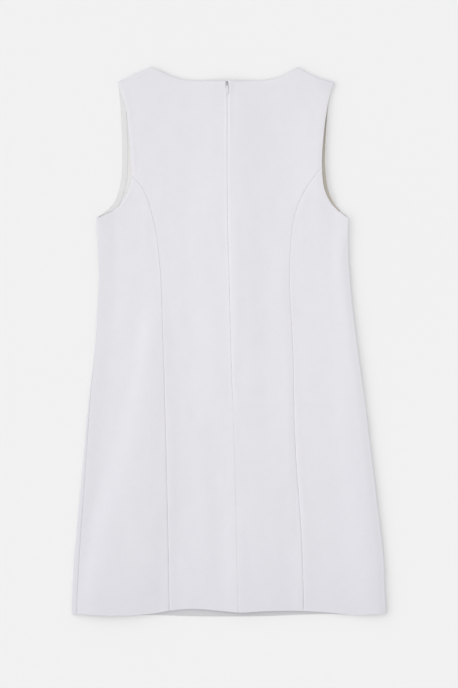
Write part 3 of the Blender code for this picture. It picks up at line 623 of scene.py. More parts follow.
def lengthsFrom(points, axis, backwards=False):
    if backwards:
        points = np.flip(points, axis)
    steps = np.linalg.norm(np.diff(points, axis=axis), axis=-1)
    total = np.cumsum(steps, axis=axis)
    total = np.concatenate((np.zeros_like(np.take(total, [0], axis=axis)), total), axis=axis)
    return np.flip(total, axis) if backwards else total


def edgeDistances(middle):
    # way along the cloth from the first and the last column, then from the first and the last row
    return [lengthsFrom(middle, axis, backwards) for axis in (1, 0) for backwards in (False, True)]


def edgeThickness(away, radius, full):
    near = 1.0 - np.clip(away / radius, 0.0, 1.0)
    return full * np.sqrt(np.maximum(1.0 - near * near, 0.0))


# share of the painted shade along an outer edge, fading inwards
def rimShadeShare(away, part):
    rim = crepe["rim"]
    return rim[part] * fade((away - rim["flat"]) / (rim["reach"] - rim["flat"]))


def shellObject(name, middle, out, thick, rim=None):
    # closed cloth shell; its two sides share the border's points
    rows, cols = thick.shape
    half = out * thick[..., None] / 2
    outer = (middle + half).reshape(-1, 3)
    numbers = np.arange(rows * cols).reshape(rows, cols)
    inside = np.zeros((rows, cols), bool)
    inside[1:-1, 1:-1] = True
    innerNumbers = numbers.copy()
    innerNumbers[inside] = rows * cols + np.arange(inside.sum())
    points = np.vstack((outer, (middle - half)[inside]))
    faces = []
    for grid, flip in ((numbers, False), (innerNumbers, True)):
        quads = joined(grid[:-1, :-1], grid[:-1, 1:], grid[1:, 1:], grid[1:, :-1]).reshape(-1, 4)
        faces.append(quads[:, ::-1] if flip else quads)
    faces = np.vstack(faces)
    r, c = rows // 2, cols // 2
    across = middle[r, c + 1] - middle[r, c]
    along = middle[r + 1, c] - middle[r, c]
    if np.dot(np.cross(across, along), out[r, c]) < 0:
        faces = faces[:, ::-1]
    item = meshObject(name, points, faces)
    sides = np.repeat((0, 1), len(faces) // 2)
    item.data.polygons.foreach_set("material_index", sides.tolist())
    # the rim attribute carries the share of painted edge shade
    if rim is not None:
        values = np.concatenate((rim.ravel(), rim[inside]))
        item.data.attributes.new("rim", "FLOAT", "POINT").data.foreach_set("value", values.tolist())
    return item


def meshObject(name, points, faces, turnOut=False):
    mesh = bpy.data.meshes.new(name)
    faces = faces.tolist() if isinstance(faces, np.ndarray) else faces
    mesh.from_pydata(np.asarray(points).tolist(), [], faces)
    if turnOut:
        form = bmesh.new()
        form.from_mesh(mesh)
        bmesh.ops.recalc_face_normals(form, faces=form.faces)
        form.to_mesh(mesh)
        form.free()
    mesh.validate()
    mesh.shade_smooth()
    item = bpy.data.objects.new(name, mesh)
    bpy.context.scene.collection.objects.link(item)
    return item


def finishPiece(item, materials, slot, *nodes, body="dress"):
    # a shell takes two materials, for its outer and its inner side
    for material in materials if isinstance(materials, list) else [materials] * 2:
        item.data.materials.append(material)
    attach(item, body)
    if nodes:
        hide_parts(*nodes)
    return item


# materials
def setInputs(tree, node, inputs):
    # a plain value is set on its socket, another node's output is linked to it
    for key, value in inputs.items():
        if isinstance(value, bpy.types.NodeSocket):
            tree.links.new(value, node.inputs[key])
        else:
            node.inputs[key].default_value = value


def addNode(tree, kind, inputs=None, **settings):
    node = tree.nodes.new(kind)
    for key, value in settings.items():
        setattr(node, key, value)
    setInputs(tree, node, inputs or {})
    return node


def newMaterial(name, settings):
    material = bpy.data.materials.new(name)
    material.use_nodes = True
    tree = material.node_tree
    shader = tree.nodes["Principled BSDF"]
    setInputs(tree, shader, settings)
    return material, tree, shader, addNode(tree, "ShaderNodeTexCoord").outputs["Object"]


def noiseNode(tree, where, scale, detail=3.0, roughness=0.55):
    inputs = {"Vector": where, "Scale": scale, "Detail": detail, "Roughness": roughness}
    return addNode(tree, "ShaderNodeTexNoise", inputs).outputs["Fac"]


def waveNode(tree, where, direction, inputs):
    inputs = {"Vector": where, **inputs}
    return addNode(tree, "ShaderNodeTexWave", inputs, bands_direction=direction).outputs["Fac"]


def rampNode(tree, value, low, high, lowAt=0.0, highAt=1.0):
    node = addNode(tree, "ShaderNodeValToRGB", {"Fac": value})
    for element, place, colour in zip(node.color_ramp.elements, (lowAt, highAt), (low, high)):
        element.position = place
        element.color = (*colour, 1.0)
    return node.outputs["Color"]


def multiplyNode(tree, first, second, factor=1.0):
    inputs = {"Factor": factor, "A": first, "B": second}
    node = addNode(tree, "ShaderNodeMix", inputs, data_type="RGBA", blend_type="MULTIPLY")
    return node.outputs["Result"]


def bumpNode(tree, height, strength, distance, **before):
    inputs = {"Height": height, "Strength": strength, "Distance": distance, **before}
    return addNode(tree, "ShaderNodeBump", inputs).outputs["Normal"]


def mathNode(tree, operation, first, second):
    return addNode(tree, "ShaderNodeMath", {0: first, 1: second}, operation=operation).outputs["Value"]


def fallOff(tree, value, stops):
    # cool grey ramp with its stops at places in metres
    first, last = stops[0][0], stops[-1][0]
    inputs = {"Value": value, "From Min": first, "From Max": last}
    place = addNode(tree, "ShaderNodeMapRange", inputs).outputs["Result"]
    node = addNode(tree, "ShaderNodeValToRGB", {"Fac": place})
    elements = node.color_ramp.elements
    for place, tone in stops:
        share = (place - first) / (last - first)
        element = elements[0] if share == 0 else elements.new(share) if share < 1 else elements[-1]
        element.position = share
        element.color = (tone, tone, 1.0 - 0.85 * (1.0 - tone), 1.0)
    return node.outputs["Color"]


crepe = {
    "colour": (0.777, 0.767, 0.804),
    "shadeColour": (0.772, 0.762, 0.799),
    "insideColour": (0.785, 0.775, 0.772),
    "insideShade": (0.780, 0.770, 0.766),
    # the right binding's warm dark grey is painted shade in the groove beside the back's armhole edge
    "bindingColourAndShade": {-1: (0.755, 0.746, 0.750), 1: (0.600, 0.566, 0.500)},
    # how the tone falls off: level or place across, and tone
    "backLevels": [(-0.45, 0.932), (-0.42, 0.943), (-0.36, 0.962), (-0.30, 0.971), (-0.18, 0.984),
                   (0.0, 1.0), (0.25, 1.0), (0.42, 0.986), (0.45, 0.982)],
    # on the inner side the darkening at the hem is painted shade under the back's hem
    "insideHemShadeLevels": [(-0.45, 0.77), (-0.43, 0.80), (-0.405, 0.95), (0.0, 1.0), (0.45, 1.0)],
    "across": [(-0.26, 0.988), (-0.20, 0.990), (-0.16, 1.0), (0.14, 1.0), (0.18, 0.990), (0.21, 0.982),
               (0.26, 0.979)],
    "tip": (0.168, 0.428, 0.0),  # the right shoulder's end lies in its own soft shade
    "tipShadeLevels": [(0.0, 0.925), (0.008, 0.94), (0.016, 0.965), (0.030, 1.0), (1.0, 1.0)],
    "rimShadeTone": (0.830, 0.830, 0.837),  # painted shade, a dark line along the outer edges
    "rim": {"flat": 1.0 * mm, "reach": 2.8 * mm, "leftFold": 1.0, "shoulder": 0.40, "neck": 0.30},
    "broadScale": 7.0,
    "mottleScale": 90.0,
    "grainSize": 0.55 * mm,
    "threadPitch": 0.42 * mm,
    "shader": {"Roughness": 0.88, "Specular IOR Level": 0.22, "Sheen Weight": 0.10,
               "Sheen Roughness": 0.45},
}


def crepeMaterial(name, colour, shade, levels):
    material, tree, shader, where = newMaterial(name, crepe["shader"])
    # tone: broad, mottled and thread by thread
    mottled = noiseNode(tree, where, crepe["mottleScale"])
    grain = noiseNode(tree, where, 1.0 / crepe["grainSize"], 2.0, 0.6)
    broad = noiseNode(tree, where, crepe["broadScale"], 2.0)
    tone = rampNode(tree, broad, shade, colour, 0.30, 0.62)
    soft = rampNode(tree, mottled, (0.990, 0.990, 0.991), (1, 1, 1), 0.35, 0.65)
    pits = rampNode(tree, grain, (0.93, 0.93, 0.935), (1, 1, 1), 0.30, 0.52)
    tone = multiplyNode(tree, multiplyNode(tree, tone, soft), pits, 0.8)
    # darker to the hem, neck and sides; painted shade at the inner hem, the right shoulder's end and outer
    # edges
    place = addNode(tree, "ShaderNodeSeparateXYZ", {"Vector": where}).outputs
    fromTip = addNode(tree, "ShaderNodeVectorMath", {0: where, 1: crepe["tip"]}, operation="DISTANCE")
    for value, stops in ((place["Y"], levels), (place["X"], crepe["across"]),
                         (fromTip.outputs["Value"], crepe["tipShadeLevels"])):
        tone = multiplyNode(tree, tone, fallOff(tree, value, stops))
    # painted shade along the outer edges, as the rim attribute gives it
    rim = addNode(tree, "ShaderNodeAttribute", attribute_name="rim").outputs["Fac"]
    tone = multiplyNode(tree, tone, rampNode(tree, rim, (1, 1, 1), crepe["rimShadeTone"]))
    # surface: pebbled crepe over a fine two-way weave
    weave = {"Scale": 0.314 / crepe["threadPitch"], "Distortion": 1.4, "Detail": 1.0, "Detail Scale": 2.0}
    cross = mathNode(tree, "MULTIPLY", *(waveNode(tree, where, way, weave) for way in ("X", "Y")))
    normal = bumpNode(tree, grain, 0.45, 0.12 * mm)
    normal = bumpNode(tree, cross, 0.30, 0.05 * mm, Normal=normal)
    normal = bumpNode(tree, mottled, 0.20, 0.5 * mm, Normal=normal)
    setInputs(tree, shader, {"Base Color": tone, "Normal": normal})
    return material


# fine parts: grain is the noise's scale and detail, tone its darkest share and its two stops
enamel = {"grain": (900.0, 3.0), "tone": (0.92, 0.35, 0.60), "rough": (0.42, 0.30),
          "bump": (0.15, 0.03 * mm), "shader": {"Coat Weight": 0.35, "Coat Roughness": 0.12}}
fineParts = {
    "whiteThread": {
        "colour": (0.80, 0.79, 0.82), "grain": (900.0, 2.0), "tone": (0.93, 0.35, 0.65),
        "weave": {"Scale": 2600.0, "Distortion": 0.5}, "bump": (0.5, 0.03 * mm),
        "shader": {"Roughness": 0.55, "Sheen Weight": 0.2}},
    "zipTapeWeave": {
        "colour": (0.76, 0.76, 0.77), "grain": (300.0, 3.0), "tone": (0.95, 0.35, 0.65),
        "weave": {"Scale": 520.0, "Distortion": 0.6}, "weaveTone": (0.86, 0.1, 0.7),
        "bump": (0.6, 0.08 * mm), "shader": {"Roughness": 0.75, "Sheen Weight": 0.1}},
    "nylonCoil": {
        "colour": (0.74, 0.74, 0.75), "grain": (400.0, 3.0), "tone": (0.94, 0.35, 0.65),
        "shader": {"Roughness": 0.38, "Subsurface Weight": 0.15, "Subsurface Radius": (0.6 * mm,) * 3}},
    "paleEnamel": {"colour": (0.775, 0.768, 0.785), **enamel},
    # the slider's dark grey is painted shade of the slit it sits in
    "greyEnamelPaintedShade": {"colour": (0.40, 0.40, 0.415), **enamel},
}


def fineMaterial(name):
    part = fineParts[name]
    material, tree, shader, where = newMaterial(name, part["shader"])

    def shaded(value, colour, low, *stops):
        return rampNode(tree, value, [share * low for share in colour], colour, *stops)

    grain = relief = noiseNode(tree, where, *part["grain"])
    tone = shaded(grain, part["colour"], *part["tone"])
    if "weave" in part:
        relief = waveNode(tree, where, "DIAGONAL", part["weave"])
    if "weaveTone" in part:
        tone = multiplyNode(tree, tone, shaded(relief, (1, 1, 1), *part["weaveTone"]))
    if "rough" in part:
        rough = rampNode(tree, grain, *((value,) * 3 for value in part["rough"]))
        setInputs(tree, shader, {"Roughness": rough})
    if "bump" in part:
        setInputs(tree, shader, {"Normal": bumpNode(tree, relief, *part["bump"])})
    setInputs(tree, shader, {"Base Color": tone})
    return material


crepeSides = [
    crepeMaterial("whiteCrepe", crepe["colour"], crepe["shadeColour"], crepe["backLevels"]),
    crepeMaterial("crepeInside", crepe["insideColour"], crepe["insideShade"], crepe["insideHemShadeLevels"]),
]
# the left binding has the cloth's own colour, the right one painted shade
bindingClothAndShade = {}
for side, colour in crepe["bindingColourAndShade"].items():
    shade = [part * 0.99 for part in colour]
    name = sideName("bindingCrepeAndShade", side)
    bindingClothAndShade[side] = crepeMaterial(name, colour, shade, crepe["insideHemShadeLevels"])
thread, tapeCloth, nylon, tabEnamel, sliderShadeEnamel = (fineMaterial(name) for name in fineParts)
print("materials made")


# panels
def lipOffset(level):
    closed = ease((neckLevel - level - lay["lipLength"]) / lay["lipTaper"])
    return blend(lay["lipOpening"], lay["centreGap"] / 2, closed)


def squareTo(points, side):
    # directions square to a line's run, to its left for side 1
    return leftOf(unit(np.gradient(points, axis=0))) * side


def seamSide(side, share, way):
    # princess seam moved sideways to a panel's own edge
    points = atShare(princessLine[side], share)
    gap = blend(lay["tightGap"], lay["seamGap"], shownShare(side, points[:, 1]))[:, None]
    return points + squareTo(points, -1) * way * gap / 2


def clothThickness(away, seamAway):
    full = lay["cloth"]
    free = edgeThickness(away, full / 2, full)
    sewn = edgeThickness(seamAway, sewing["seamRadius"], full)
    return np.minimum(free, sewn)


far = 1.0  # stands for an edge that a panel doesn't have


backPanels = {
    "columnsShoulder": 16, "columnsNeck": 34, "rowsSeam": 120, "rowsArmhole": 50,
    "sewnShare": 0.80,  # share of the rows that run along the princess seam
    "corner": {-1: 0.34, 1: 0.36},  # share of the columns that run along the shoulder
    "cut": {-1: (0.197, 0.893), 1: (0.176, 0.893)},
    "area": {-1: 0.1079, 1: 0.1005},
}


def hemRun(layer, first, last, u):
    across = blend(first, last, u)
    return joined(across, readLine(hemLine[layer], across))


def fillPatch(bottom, top, left, right, u, v):
    # points of a four-sided patch from its edges
    u, v = u[..., None], v[:, None, None]
    left, right = left[:, None, :], right[:, None, :]
    corners = blend(blend(left[0], right[0], u), blend(left[-1], right[-1], u), v)
    return blend(left, right, u) + blend(bottom, top, v) - corners


def creaseForm(x, y):
    total = unevenLift(x, y)
    for crease in creases:
        total += creaseLift(crease, x, y)
    return total


def nearest(*edges):
    # way to the nearest of some edges, each one given with where it counts
    return np.minimum.reduce([np.where(counts, away, far) for away, counts in edges])


def clothPanel(name, middle, out, form, thick, rim, slot, node):
    # a panel's shell, with its form laid on the plain middle
    middle = middle + out * (outerShift + form)[..., None]
    return finishPiece(shellObject(name, middle, out, thick, rim), crepeSides, slot, node)


def makeBackPanel(side):
    arm, sewnShare, corner = armLine[side], backPanels["sewnShare"], backPanels["corner"][side]
    join, tipStop = arm["stops"][princessJoin], arm["stops"][-1]
    seamLength = princessLine[side]["stops"][-1]
    lower = gradedShares(seamLength, backPanels["rowsSeam"], 0.15 * mm, 3 * mm)[0]
    upper = gradedShares(tipStop - join, backPanels["rowsArmhole"], 3 * mm, 0.10 * mm)[0][1:]
    v = np.concatenate((lower * sewnShare, sewnShare + upper * (1 - sewnShare)))
    outerEdge = np.vstack((seamSide(side, lower, -side), readLine(arm, blend(join, tipStop, upper))))
    centre = atShare(centreLine, v)
    centre[:, 0] += side * lipOffset(centre[:, 1])
    for edge in (outerEdge, centre):
        edge[0, 1] = readLine(hemLine["back"], edge[0, 0])

    # columns meet the corner between shoulder and neck
    width = np.linalg.norm(centre - outerEdge, axis=1)
    first = gradedShares(width * corner, backPanels["columnsShoulder"], 0.12 * mm, 5 * mm) * corner
    second = gradedShares(width * (1 - corner), backPanels["columnsNeck"], 5 * mm, 0.10 * mm)
    u = np.hstack((first, corner + second[:, 1:] * (1 - corner)))
    neckEnd = neckLine["stops"][0 if side < 0 else -1]
    neckStart = neckLine["stops"][neckCentre] + side * lay["lipOpening"]
    onNeck = np.clip((u - corner) / (1 - corner), 0.0, 1.0)
    neckPlace = readLine(neckLine, blend(neckEnd, neckStart, onNeck))
    shoulder = shoulderPoints(side, np.clip(u / corner, 0.0, 1.0)[..., None])
    top = np.where((u <= corner)[..., None], shoulder, neckPlace)
    bottom = hemRun("back", outerEdge[0, 0], centre[0, 0], u)
    place = fillPatch(bottom, top, outerEdge, centre, u, v)
    x, y = place[..., 0], place[..., 1]
    middle, out = layPoints(x, y, 1)

    fromOuter, fromCentre, fromHem, fromTop = edgeDistances(middle)
    sewn = (v <= sewnShare)[:, None]
    onShoulder = (u[-1] <= corner)[None, :]
    slit = (zipEnd < centre[:, 1])[:, None]
    seamAway = nearest((fromOuter * seamTightness(side, y), sewn), (fromTop, onShoulder),
                       (fromCentre * zipLips["flatter"], ~slit))
    freeAway = nearest((fromOuter, ~sewn), (fromTop, ~onShoulder), (fromHem, True), (fromCentre, slit))

    form = creaseForm(x, y)
    fadeSeam = ease((sewnShare + 0.01 - v) / 0.02)[:, None]
    form += seamForm(fromOuter, y) * princessStrength(side, y) * fadeSeam
    form += turnedForm(fromOuter, "turned") * (1 - fadeSeam)
    neckward = ease((np.arange(u.shape[1]) - backPanels["columnsShoulder"] + 4) / 6.0)[None, :]
    form += turnedForm(fromTop, "turned", 1 * mm) * neckward
    form += turnedForm(fromHem, "hemmed")
    form += centreForm(fromCentre, centre[:, 1][:, None], y, side)
    form *= ease(shoulderDepth(x, y) / (3 * mm) + 0.1)
    rim = np.where(onShoulder, rimShadeShare(fromTop, "shoulder"), rimShadeShare(fromTop, "neck"))
    return clothPanel(sideName("back", side, "Panel"), middle, out, form,
                      clothThickness(freeAway, seamAway), rim, "back_cloth", sideNode("back_", side))


zipLips = {
    "ridge": {-1: 0.14 * mm, 1: 0.24 * mm},  # raised roll of each lip
    "ridgeAt": {-1: 1.5 * mm, 1: 4.6 * mm},
    "ridgeWidth": {-1: 1.7 * mm, 1: 2.6 * mm},
    "lineAt": {-1: 5.2 * mm, 1: 8.0 * mm},  # faint line where the tape is sewn
    "lineDepth": 0.07 * mm,
    "lineWidth": 0.8 * mm,
    "lipDrop": 0.18 * mm,
    "dropWidth": 0.7 * mm,
    "besideTab": 0.42 * mm,  # the right lip bulges beside the pull tab
    "besideTabAt": 5.0 * mm,
    "besideTabWidth": (1.6 * mm, 5.5 * mm),
    "besideTabLong": 28 * mm,
    "flatter": 6.0,  # the centre seam under the zip is sewn flat
    "belowZip": 0.06,
}
# how strongly the zip's line shows: level, strength
lipStrength = np.array([(-0.10, 0.35), (-0.08, 0.55), (-0.03, 0.60), (0.03, 0.20), (0.09, 0.55),
                        (0.17, 0.70), (0.24, 0.55), (0.30, 0.80), (0.36, 1.30), (0.45, 1.35)])


def centreForm(away, level, y, side):
    inZip = ease((level - zipEnd + 0.01) / 0.02)
    ridge = (away - zipLips["ridgeAt"][side]) / zipLips["ridgeWidth"][side]
    form = zipLips["ridge"][side] * np.exp(-ridge ** 2)
    line = (away - zipLips["lineAt"][side]) / zipLips["lineWidth"]
    form = form - zipLips["lineDepth"] * np.exp(-line ** 2)
    form = form - zipLips["lipDrop"] * np.exp(-(away / zipLips["dropWidth"]) ** 2)
    form = form * np.interp(level, lipStrength[:, 0], lipStrength[:, 1])
    if side > 0:
        bulge = away + lipOffset(level) - zipLips["besideTabAt"]
        bulge = bulge / np.where(bulge < 0, *zipLips["besideTabWidth"])
        near = ease((level - neckLevel + zipLips["besideTabLong"]) / (4 * mm))
        form = form + zipLips["besideTab"] * np.exp(-bulge ** 2) * near
    return blend(seamForm(away, y, zipLips["belowZip"]), form, inZip)


for side in (-1, 1):
    panel = makeBackPanel(side)
print("centre backs made")


sidePanels = {
    "columnsFold": 34, "columnsPanel": 34, "rows": 150, "foldSteps": 400,
    "lean": 25 * mm,  # stretch below the armhole in which the fold's strip turns along it
    "cut": {-1: (0.152, 0.718), 1: (0.157, 0.733)},
    "area": {-1: 0.0829, 1: 0.0833},
}


def makeSidePanel(side):
    v = gradedShares(underarmLevel - hemLevel, sidePanels["rows"], 0.15 * mm, 0.10 * mm)[0]
    level = blend(hemLevel, underarmLevel, v)
    edge = sideEdge(side, level)
    seam = readLine(sideTurn[side], level)

    # near the armhole the strip round the fold leans along the armhole's edge
    armWay = unit(readLine(armLine[side], foldRadius * 2) - edge[-1])
    lean = ease((level - underarmLevel + sidePanels["lean"]) / sidePanels["lean"])[:, None]
    inward = unit(blend(np.array((-side, 0.0)), armWay, lean))
    wide = readLine(rollWide[side], level)
    high = foldHalf(edge, inward, wide)
    quarter = quarterLength(wide, high)
    innerBelt = np.maximum(seam, 0.0) + quarter + foldRest
    belts = []
    for start, end, bend in zip(seam + lay["seamGap"] / 2, innerBelt, quarter):
        belt = np.linspace(start, end, sidePanels["foldSteps"])
        widest = np.where(np.abs(belt) < bend * 1.15, bend * 0.12, 1.4 * mm)
        spacing = np.minimum(0.10 * mm + 0.3 * (belt - start), widest)
        belts.append(spread(belt, spacing, sidePanels["columnsFold"]))
    belts = np.array(belts)
    foldMiddle, foldOut = foldPoints(edge, inward, belts, wide, high)

    inner = foldMiddle[:, -1, :2]
    seamEdge = seamSide(side, v, side)
    seamEdge[0, 1] = readLine(hemLine["back"], seamEdge[0, 0])
    width = np.linalg.norm(seamEdge - inner, axis=1)
    u = gradedShares(width, sidePanels["columnsPanel"], 1.5 * mm, 0.12 * mm)
    bottom = hemRun("back", inner[0, 0], seamEdge[0, 0], u)
    stripEnd = foldRadius + foldRest
    top = readLine(armLine[side], blend(stripEnd, armLine[side]["stops"][princessJoin], u))
    top += (inner[-1] - readLine(armLine[side], np.array(stripEnd))) * (1 - u)[..., None]
    place = fillPatch(bottom, top, inner, seamEdge, u, v)[:, 1:]
    panelMiddle, panelOut = layPoints(place[..., 0], place[..., 1], 1)
    middle, out = np.hstack((foldMiddle, panelMiddle)), np.hstack((foldOut, panelOut))
    fromSide, fromPrincess, fromHem, fromTop = edgeDistances(middle)
    x, y = middle[..., 0], middle[..., 1]
    onTop = ease((out[..., 2] - 0.2) / 0.6) * (middle[..., 2] > foldRadius)
    form = creaseForm(x, y) * onTop
    form += seamForm(fromSide, y, 0.25) + seamForm(fromPrincess, y) * princessStrength(side, y)
    if side < 0:
        step = np.exp(-(fromPrincess / sewing["stepWidth"]) ** 1.5)
        form += sewing["stepHeight"] * (step * ease((y - sewing["stepFrom"]) / sewing["stepFade"]))
    form += turnedForm(fromTop, "turned")
    form += turnedForm(fromHem, "hemmed") * onTop
    # what lies underneath rests on the floor, so it only rises from it
    form = np.where(out[..., 2] < -0.5, np.minimum(form, 0.0), form)
    sewn = np.minimum(fromSide * 2.0, fromPrincess * seamTightness(side, y))
    thick = clothThickness(np.minimum(fromHem, fromTop), sewn)
    rim = np.zeros(thick.shape)
    if side < 0:
        rim[:, :belts.shape[1]] = rimShadeShare(np.abs(belts), "leftFold")
    return clothPanel(sideName("sideBack", side, "Panel"), middle, out, form, thick, rim,
                      "back_cloth", sideNode("side_back_", side))


for side in (-1, 1):
    panel = makeSidePanel(side)
print("side backs made")


frontPanel = {
    "columnsFold": 22, "columnsShoulder": 6, "columnsNeck": 40, "rowsSide": 110, "rowsArmhole": 64,
    "cut": (0.516, 0.900),
    "area": 0.3747,
    "curlReach": 20 * mm,  # how far up the armhole the side fold's curl dies away
    "cornerTurn": 12 * mm,  # the strip turns this far before and after the armhole's corner
    "tipTurn": (20 * mm, 18 * mm),  # where it starts to turn along the shoulder, and how far it takes
}


def frontSide(side, lower, upper):
    # points of the strip along a side fold and the armhole above it
    level = blend(hemLevel, underarmLevel, lower)
    edge = sideEdge(side, level)
    seam = readLine(sideTurn[side], level)
    arm = frontArmLine[side]
    armStop = blend(0.0, arm["stops"][-1], upper[1:])
    armEdge = readLine(arm, armStop)
    edges = np.vstack((edge, armEdge))

    # the strip's direction turns from square to the side into square to the armhole
    square = squareTo(armEdge, side)
    alongShoulder = unit(shoulderPoints(side, 0.08) - shoulderTip[side])
    tipFrom, tipReach = frontPanel["tipTurn"]
    nearTip = ease((armStop - arm["stops"][-1] + tipFrom) / tipReach)[:, None]
    square = blend(square, alongShoulder, nearTip)
    half = unit(np.array((-side, 0.0)) + square[0])
    cornerTurn = frontPanel["cornerTurn"]
    fromCorner = ease(armStop / cornerTurn)[:, None]
    above = blend(half, square, fromCorner)
    toCorner = ease((level - underarmLevel + cornerTurn) / cornerTurn)[:, None]
    below = blend(np.array((-side, 0.0)), half, toCorner)
    inward = unit(np.vstack((below, above)))

    onArm = np.zeros(len(armEdge))
    wide = np.concatenate((readLine(rollWide[side], level), onArm + foldRadius))
    high = np.concatenate((foldHalf(edge, inward[:len(level)], wide[:len(level)]), onArm + foldRadius))
    seam = np.concatenate((seam, onArm))
    start = seam - lay["seamGap"] / 2
    end = np.minimum(seam, 0.0) - quarterLength(wide, high) - foldRest
    share = gradedShares(4 * mm, frontPanel["columnsFold"], 0.08 * mm, 0.6 * mm, 0.3, 0.35 * mm)[0]
    belts = blend(start[:, None], end[:, None], share)
    curled, curledOut = foldPoints(edges, inward, belts, wide, high)
    flat, flatOut = layPoints(curled[..., 0], curled[..., 1], -1)
    curl = np.concatenate((np.ones(len(level)), fade(armStop / frontPanel["curlReach"])))
    curl = curl[:, None, None]
    return blend(flat, curled, curl), unit(blend(flatOut, curledOut, curl)), belts


def shoulderRun(side, start, share):
    # along a shoulder from the strip beside the armhole to the neck point
    first = shoulderShare(side, start)
    drift = start - shoulderPoints(side, first)
    share = share[:, None]
    return shoulderPoints(side, blend(first, 1.0, share)) + drift * (1 - share)


def makeFront():
    armLength = frontArmLine[1]["stops"][-1]
    lower = gradedShares(underarmLevel - hemLevel, frontPanel["rowsSide"], 0.15 * mm, 1.5 * mm)[0]
    upper = gradedShares(armLength, frontPanel["rowsArmhole"], 1.5 * mm, 0.10 * mm)[0]
    leftMiddle, leftOut, leftBelts = frontSide(-1, lower, upper)
    rightMiddle, rightOut = frontSide(1, lower, upper)[:2]
    left, right = leftMiddle[:, -1, :2], rightMiddle[:, -1, :2]
    v = (left[:, 1] - left[0, 1]) / (left[-1, 1] - left[0, 1])

    # columns meet the corners between the shoulders and the neck
    n, m = frontPanel["columnsShoulder"], frontPanel["columnsNeck"]
    cornerLeft, cornerRight = ((neckPoint[side][0] - left[-1, 0]) / (right[-1, 0] - left[-1, 0])
                               for side in (-1, 1))
    t = np.concatenate((
        np.linspace(0.0, cornerLeft, n + 1),
        np.linspace(cornerLeft, cornerRight, m + 1)[1:],
        np.linspace(cornerRight, 1.0, n + 1)[1:],
    ))
    u = np.broadcast_to(t, (len(v), len(t)))
    neckShare = np.clip((t - cornerLeft) / (cornerRight - cornerLeft), 0.0, 1.0)
    top = atShare(neckLine, neckShare)
    top[:, 1] -= frontNeckDrop * frontNeckShare(top[:, 0])
    for side, end, share in ((-1, left[-1], t / cornerLeft), (1, right[-1], (1 - t) / (1 - cornerRight))):
        shoulder = shoulderRun(side, end, np.clip(share, 0, 1))
        top = np.where((share <= 1.0)[:, None], shoulder, top)
    bottom = hemRun("front", left[0, 0], right[0, 0], u)
    place = fillPatch(bottom, np.broadcast_to(top, bottom.shape), left, right, u, v)[:, 1:-1]
    panelMiddle, panelOut = layPoints(place[..., 0], place[..., 1], -1)
    middle = np.hstack((leftMiddle, panelMiddle, rightMiddle[:, ::-1]))
    out = np.hstack((leftOut, panelOut, rightOut[:, ::-1]))

    fromLeft, fromRight, fromHem, fromTop = edgeDistances(middle)
    fromEdge = np.minimum(fromLeft, fromRight)
    sideRows = (np.arange(len(v)) < len(lower))[:, None]
    x, y = middle[..., 0], middle[..., 1]
    rise = np.minimum(seamForm(fromEdge, y, 0.8), 0.0) * sideRows
    rise += frontCreases(x, y) * ease((fromEdge - 12 * mm) / (30 * mm))
    onShoulder = np.ones((1, middle.shape[1]), bool)
    neckFrom = frontPanel["columnsFold"] + 1 + n
    onShoulder[:, neckFrom:-neckFrom] = False
    thick = clothThickness(nearest((fromHem, True), (fromEdge, ~sideRows), (fromTop, ~onShoulder)),
                           nearest((fromEdge, sideRows), (fromTop, onShoulder)))
    rim = np.zeros(fromLeft.shape)
    rim[:, :leftBelts.shape[1]] = rimShadeShare(np.abs(leftBelts), "leftFold")
    return clothPanel("frontPanel", middle, out, rise, thick, rim, "front_cloth", "front")


# creases of the front, which rests on the floor: start x, y, end x, y, bow, half width, height
hiddenCreases = [
    (-120, 90, -190, -380, -8, 16, -0.35), (30, 150, 10, -100, 4, 13, -0.25),
    (60, -160, 90, -430, 4, 16, -0.35), (-50, -220, -60, -430, 3, 14, -0.3),
    (130, 80, 160, -300, 6, 15, -0.3), (-90, 360, -50, 230, 3, 13, -0.22),
    (80, 350, 60, 240, -3, 13, -0.22),
]


def frontCreases(x, y):
    # seen from below these are hollows; the rest of the front lies on the floor
    return np.minimum(sum(creaseLift(crease, x, y) for crease in hiddenCreases), 0.0)


front = makeFront()
print("front made")

# narrow binding turned in along the front's armholes
binding = {"inset": 0.9 * mm, "width": 8.0 * mm, "thick": 0.35 * mm, "columns": 22, "rows": 150,
           "start": 19 * mm, "end": 6 * mm, "taper": 16 * mm, "narrowed": 0.35, "endRound": 5 * mm,
           "ripple": 0.05 * mm, "clear": 0.02 * mm}


def makeBinding(side):
    arm = frontArmLine[side]
    stops = np.linspace(binding["start"], arm["stops"][-1] - binding["end"], binding["rows"])
    edge = readLine(arm, stops)
    square = squareTo(edge, side)
    share = gradedShares(binding["width"], binding["columns"], 0.1 * mm, 0.1 * mm)[0]
    wide = blend(binding["narrowed"], 1.0, ease((stops - stops[0]) / binding["taper"]))
    wide = (wide * binding["width"])[:, None]
    away = binding["inset"] + wide * share
    place = edge[:, None, :] + square[:, None, :] * away[:, :, None]
    fromEnds = np.minimum(stops - stops[0], stops[-1] - stops)[:, None]
    fromSides = np.minimum(share, 1 - share) * wide
    thick = np.minimum(edgeThickness(fromSides, binding["thick"] / 2, binding["thick"]),
                       edgeThickness(fromEnds, binding["endRound"], binding["thick"]))
    ripple = binding["ripple"] * seamRipple(place[..., 1]) * (thick / binding["thick"])
    middle, down = layPoints(place[..., 0], place[..., 1], -1)
    rise = lay["cloth"] / 2 - outerShift + binding["clear"] + thick / 2 + ripple
    middle, out = middle - down * rise[..., None], -down
    item = shellObject(sideName("armholeBinding", side), middle, out, thick)
    return finishPiece(item, bindingClothAndShade[side], "front_cloth")


bindings = [makeBinding(side) for side in (-1, 1)]
print("armhole bindings made")


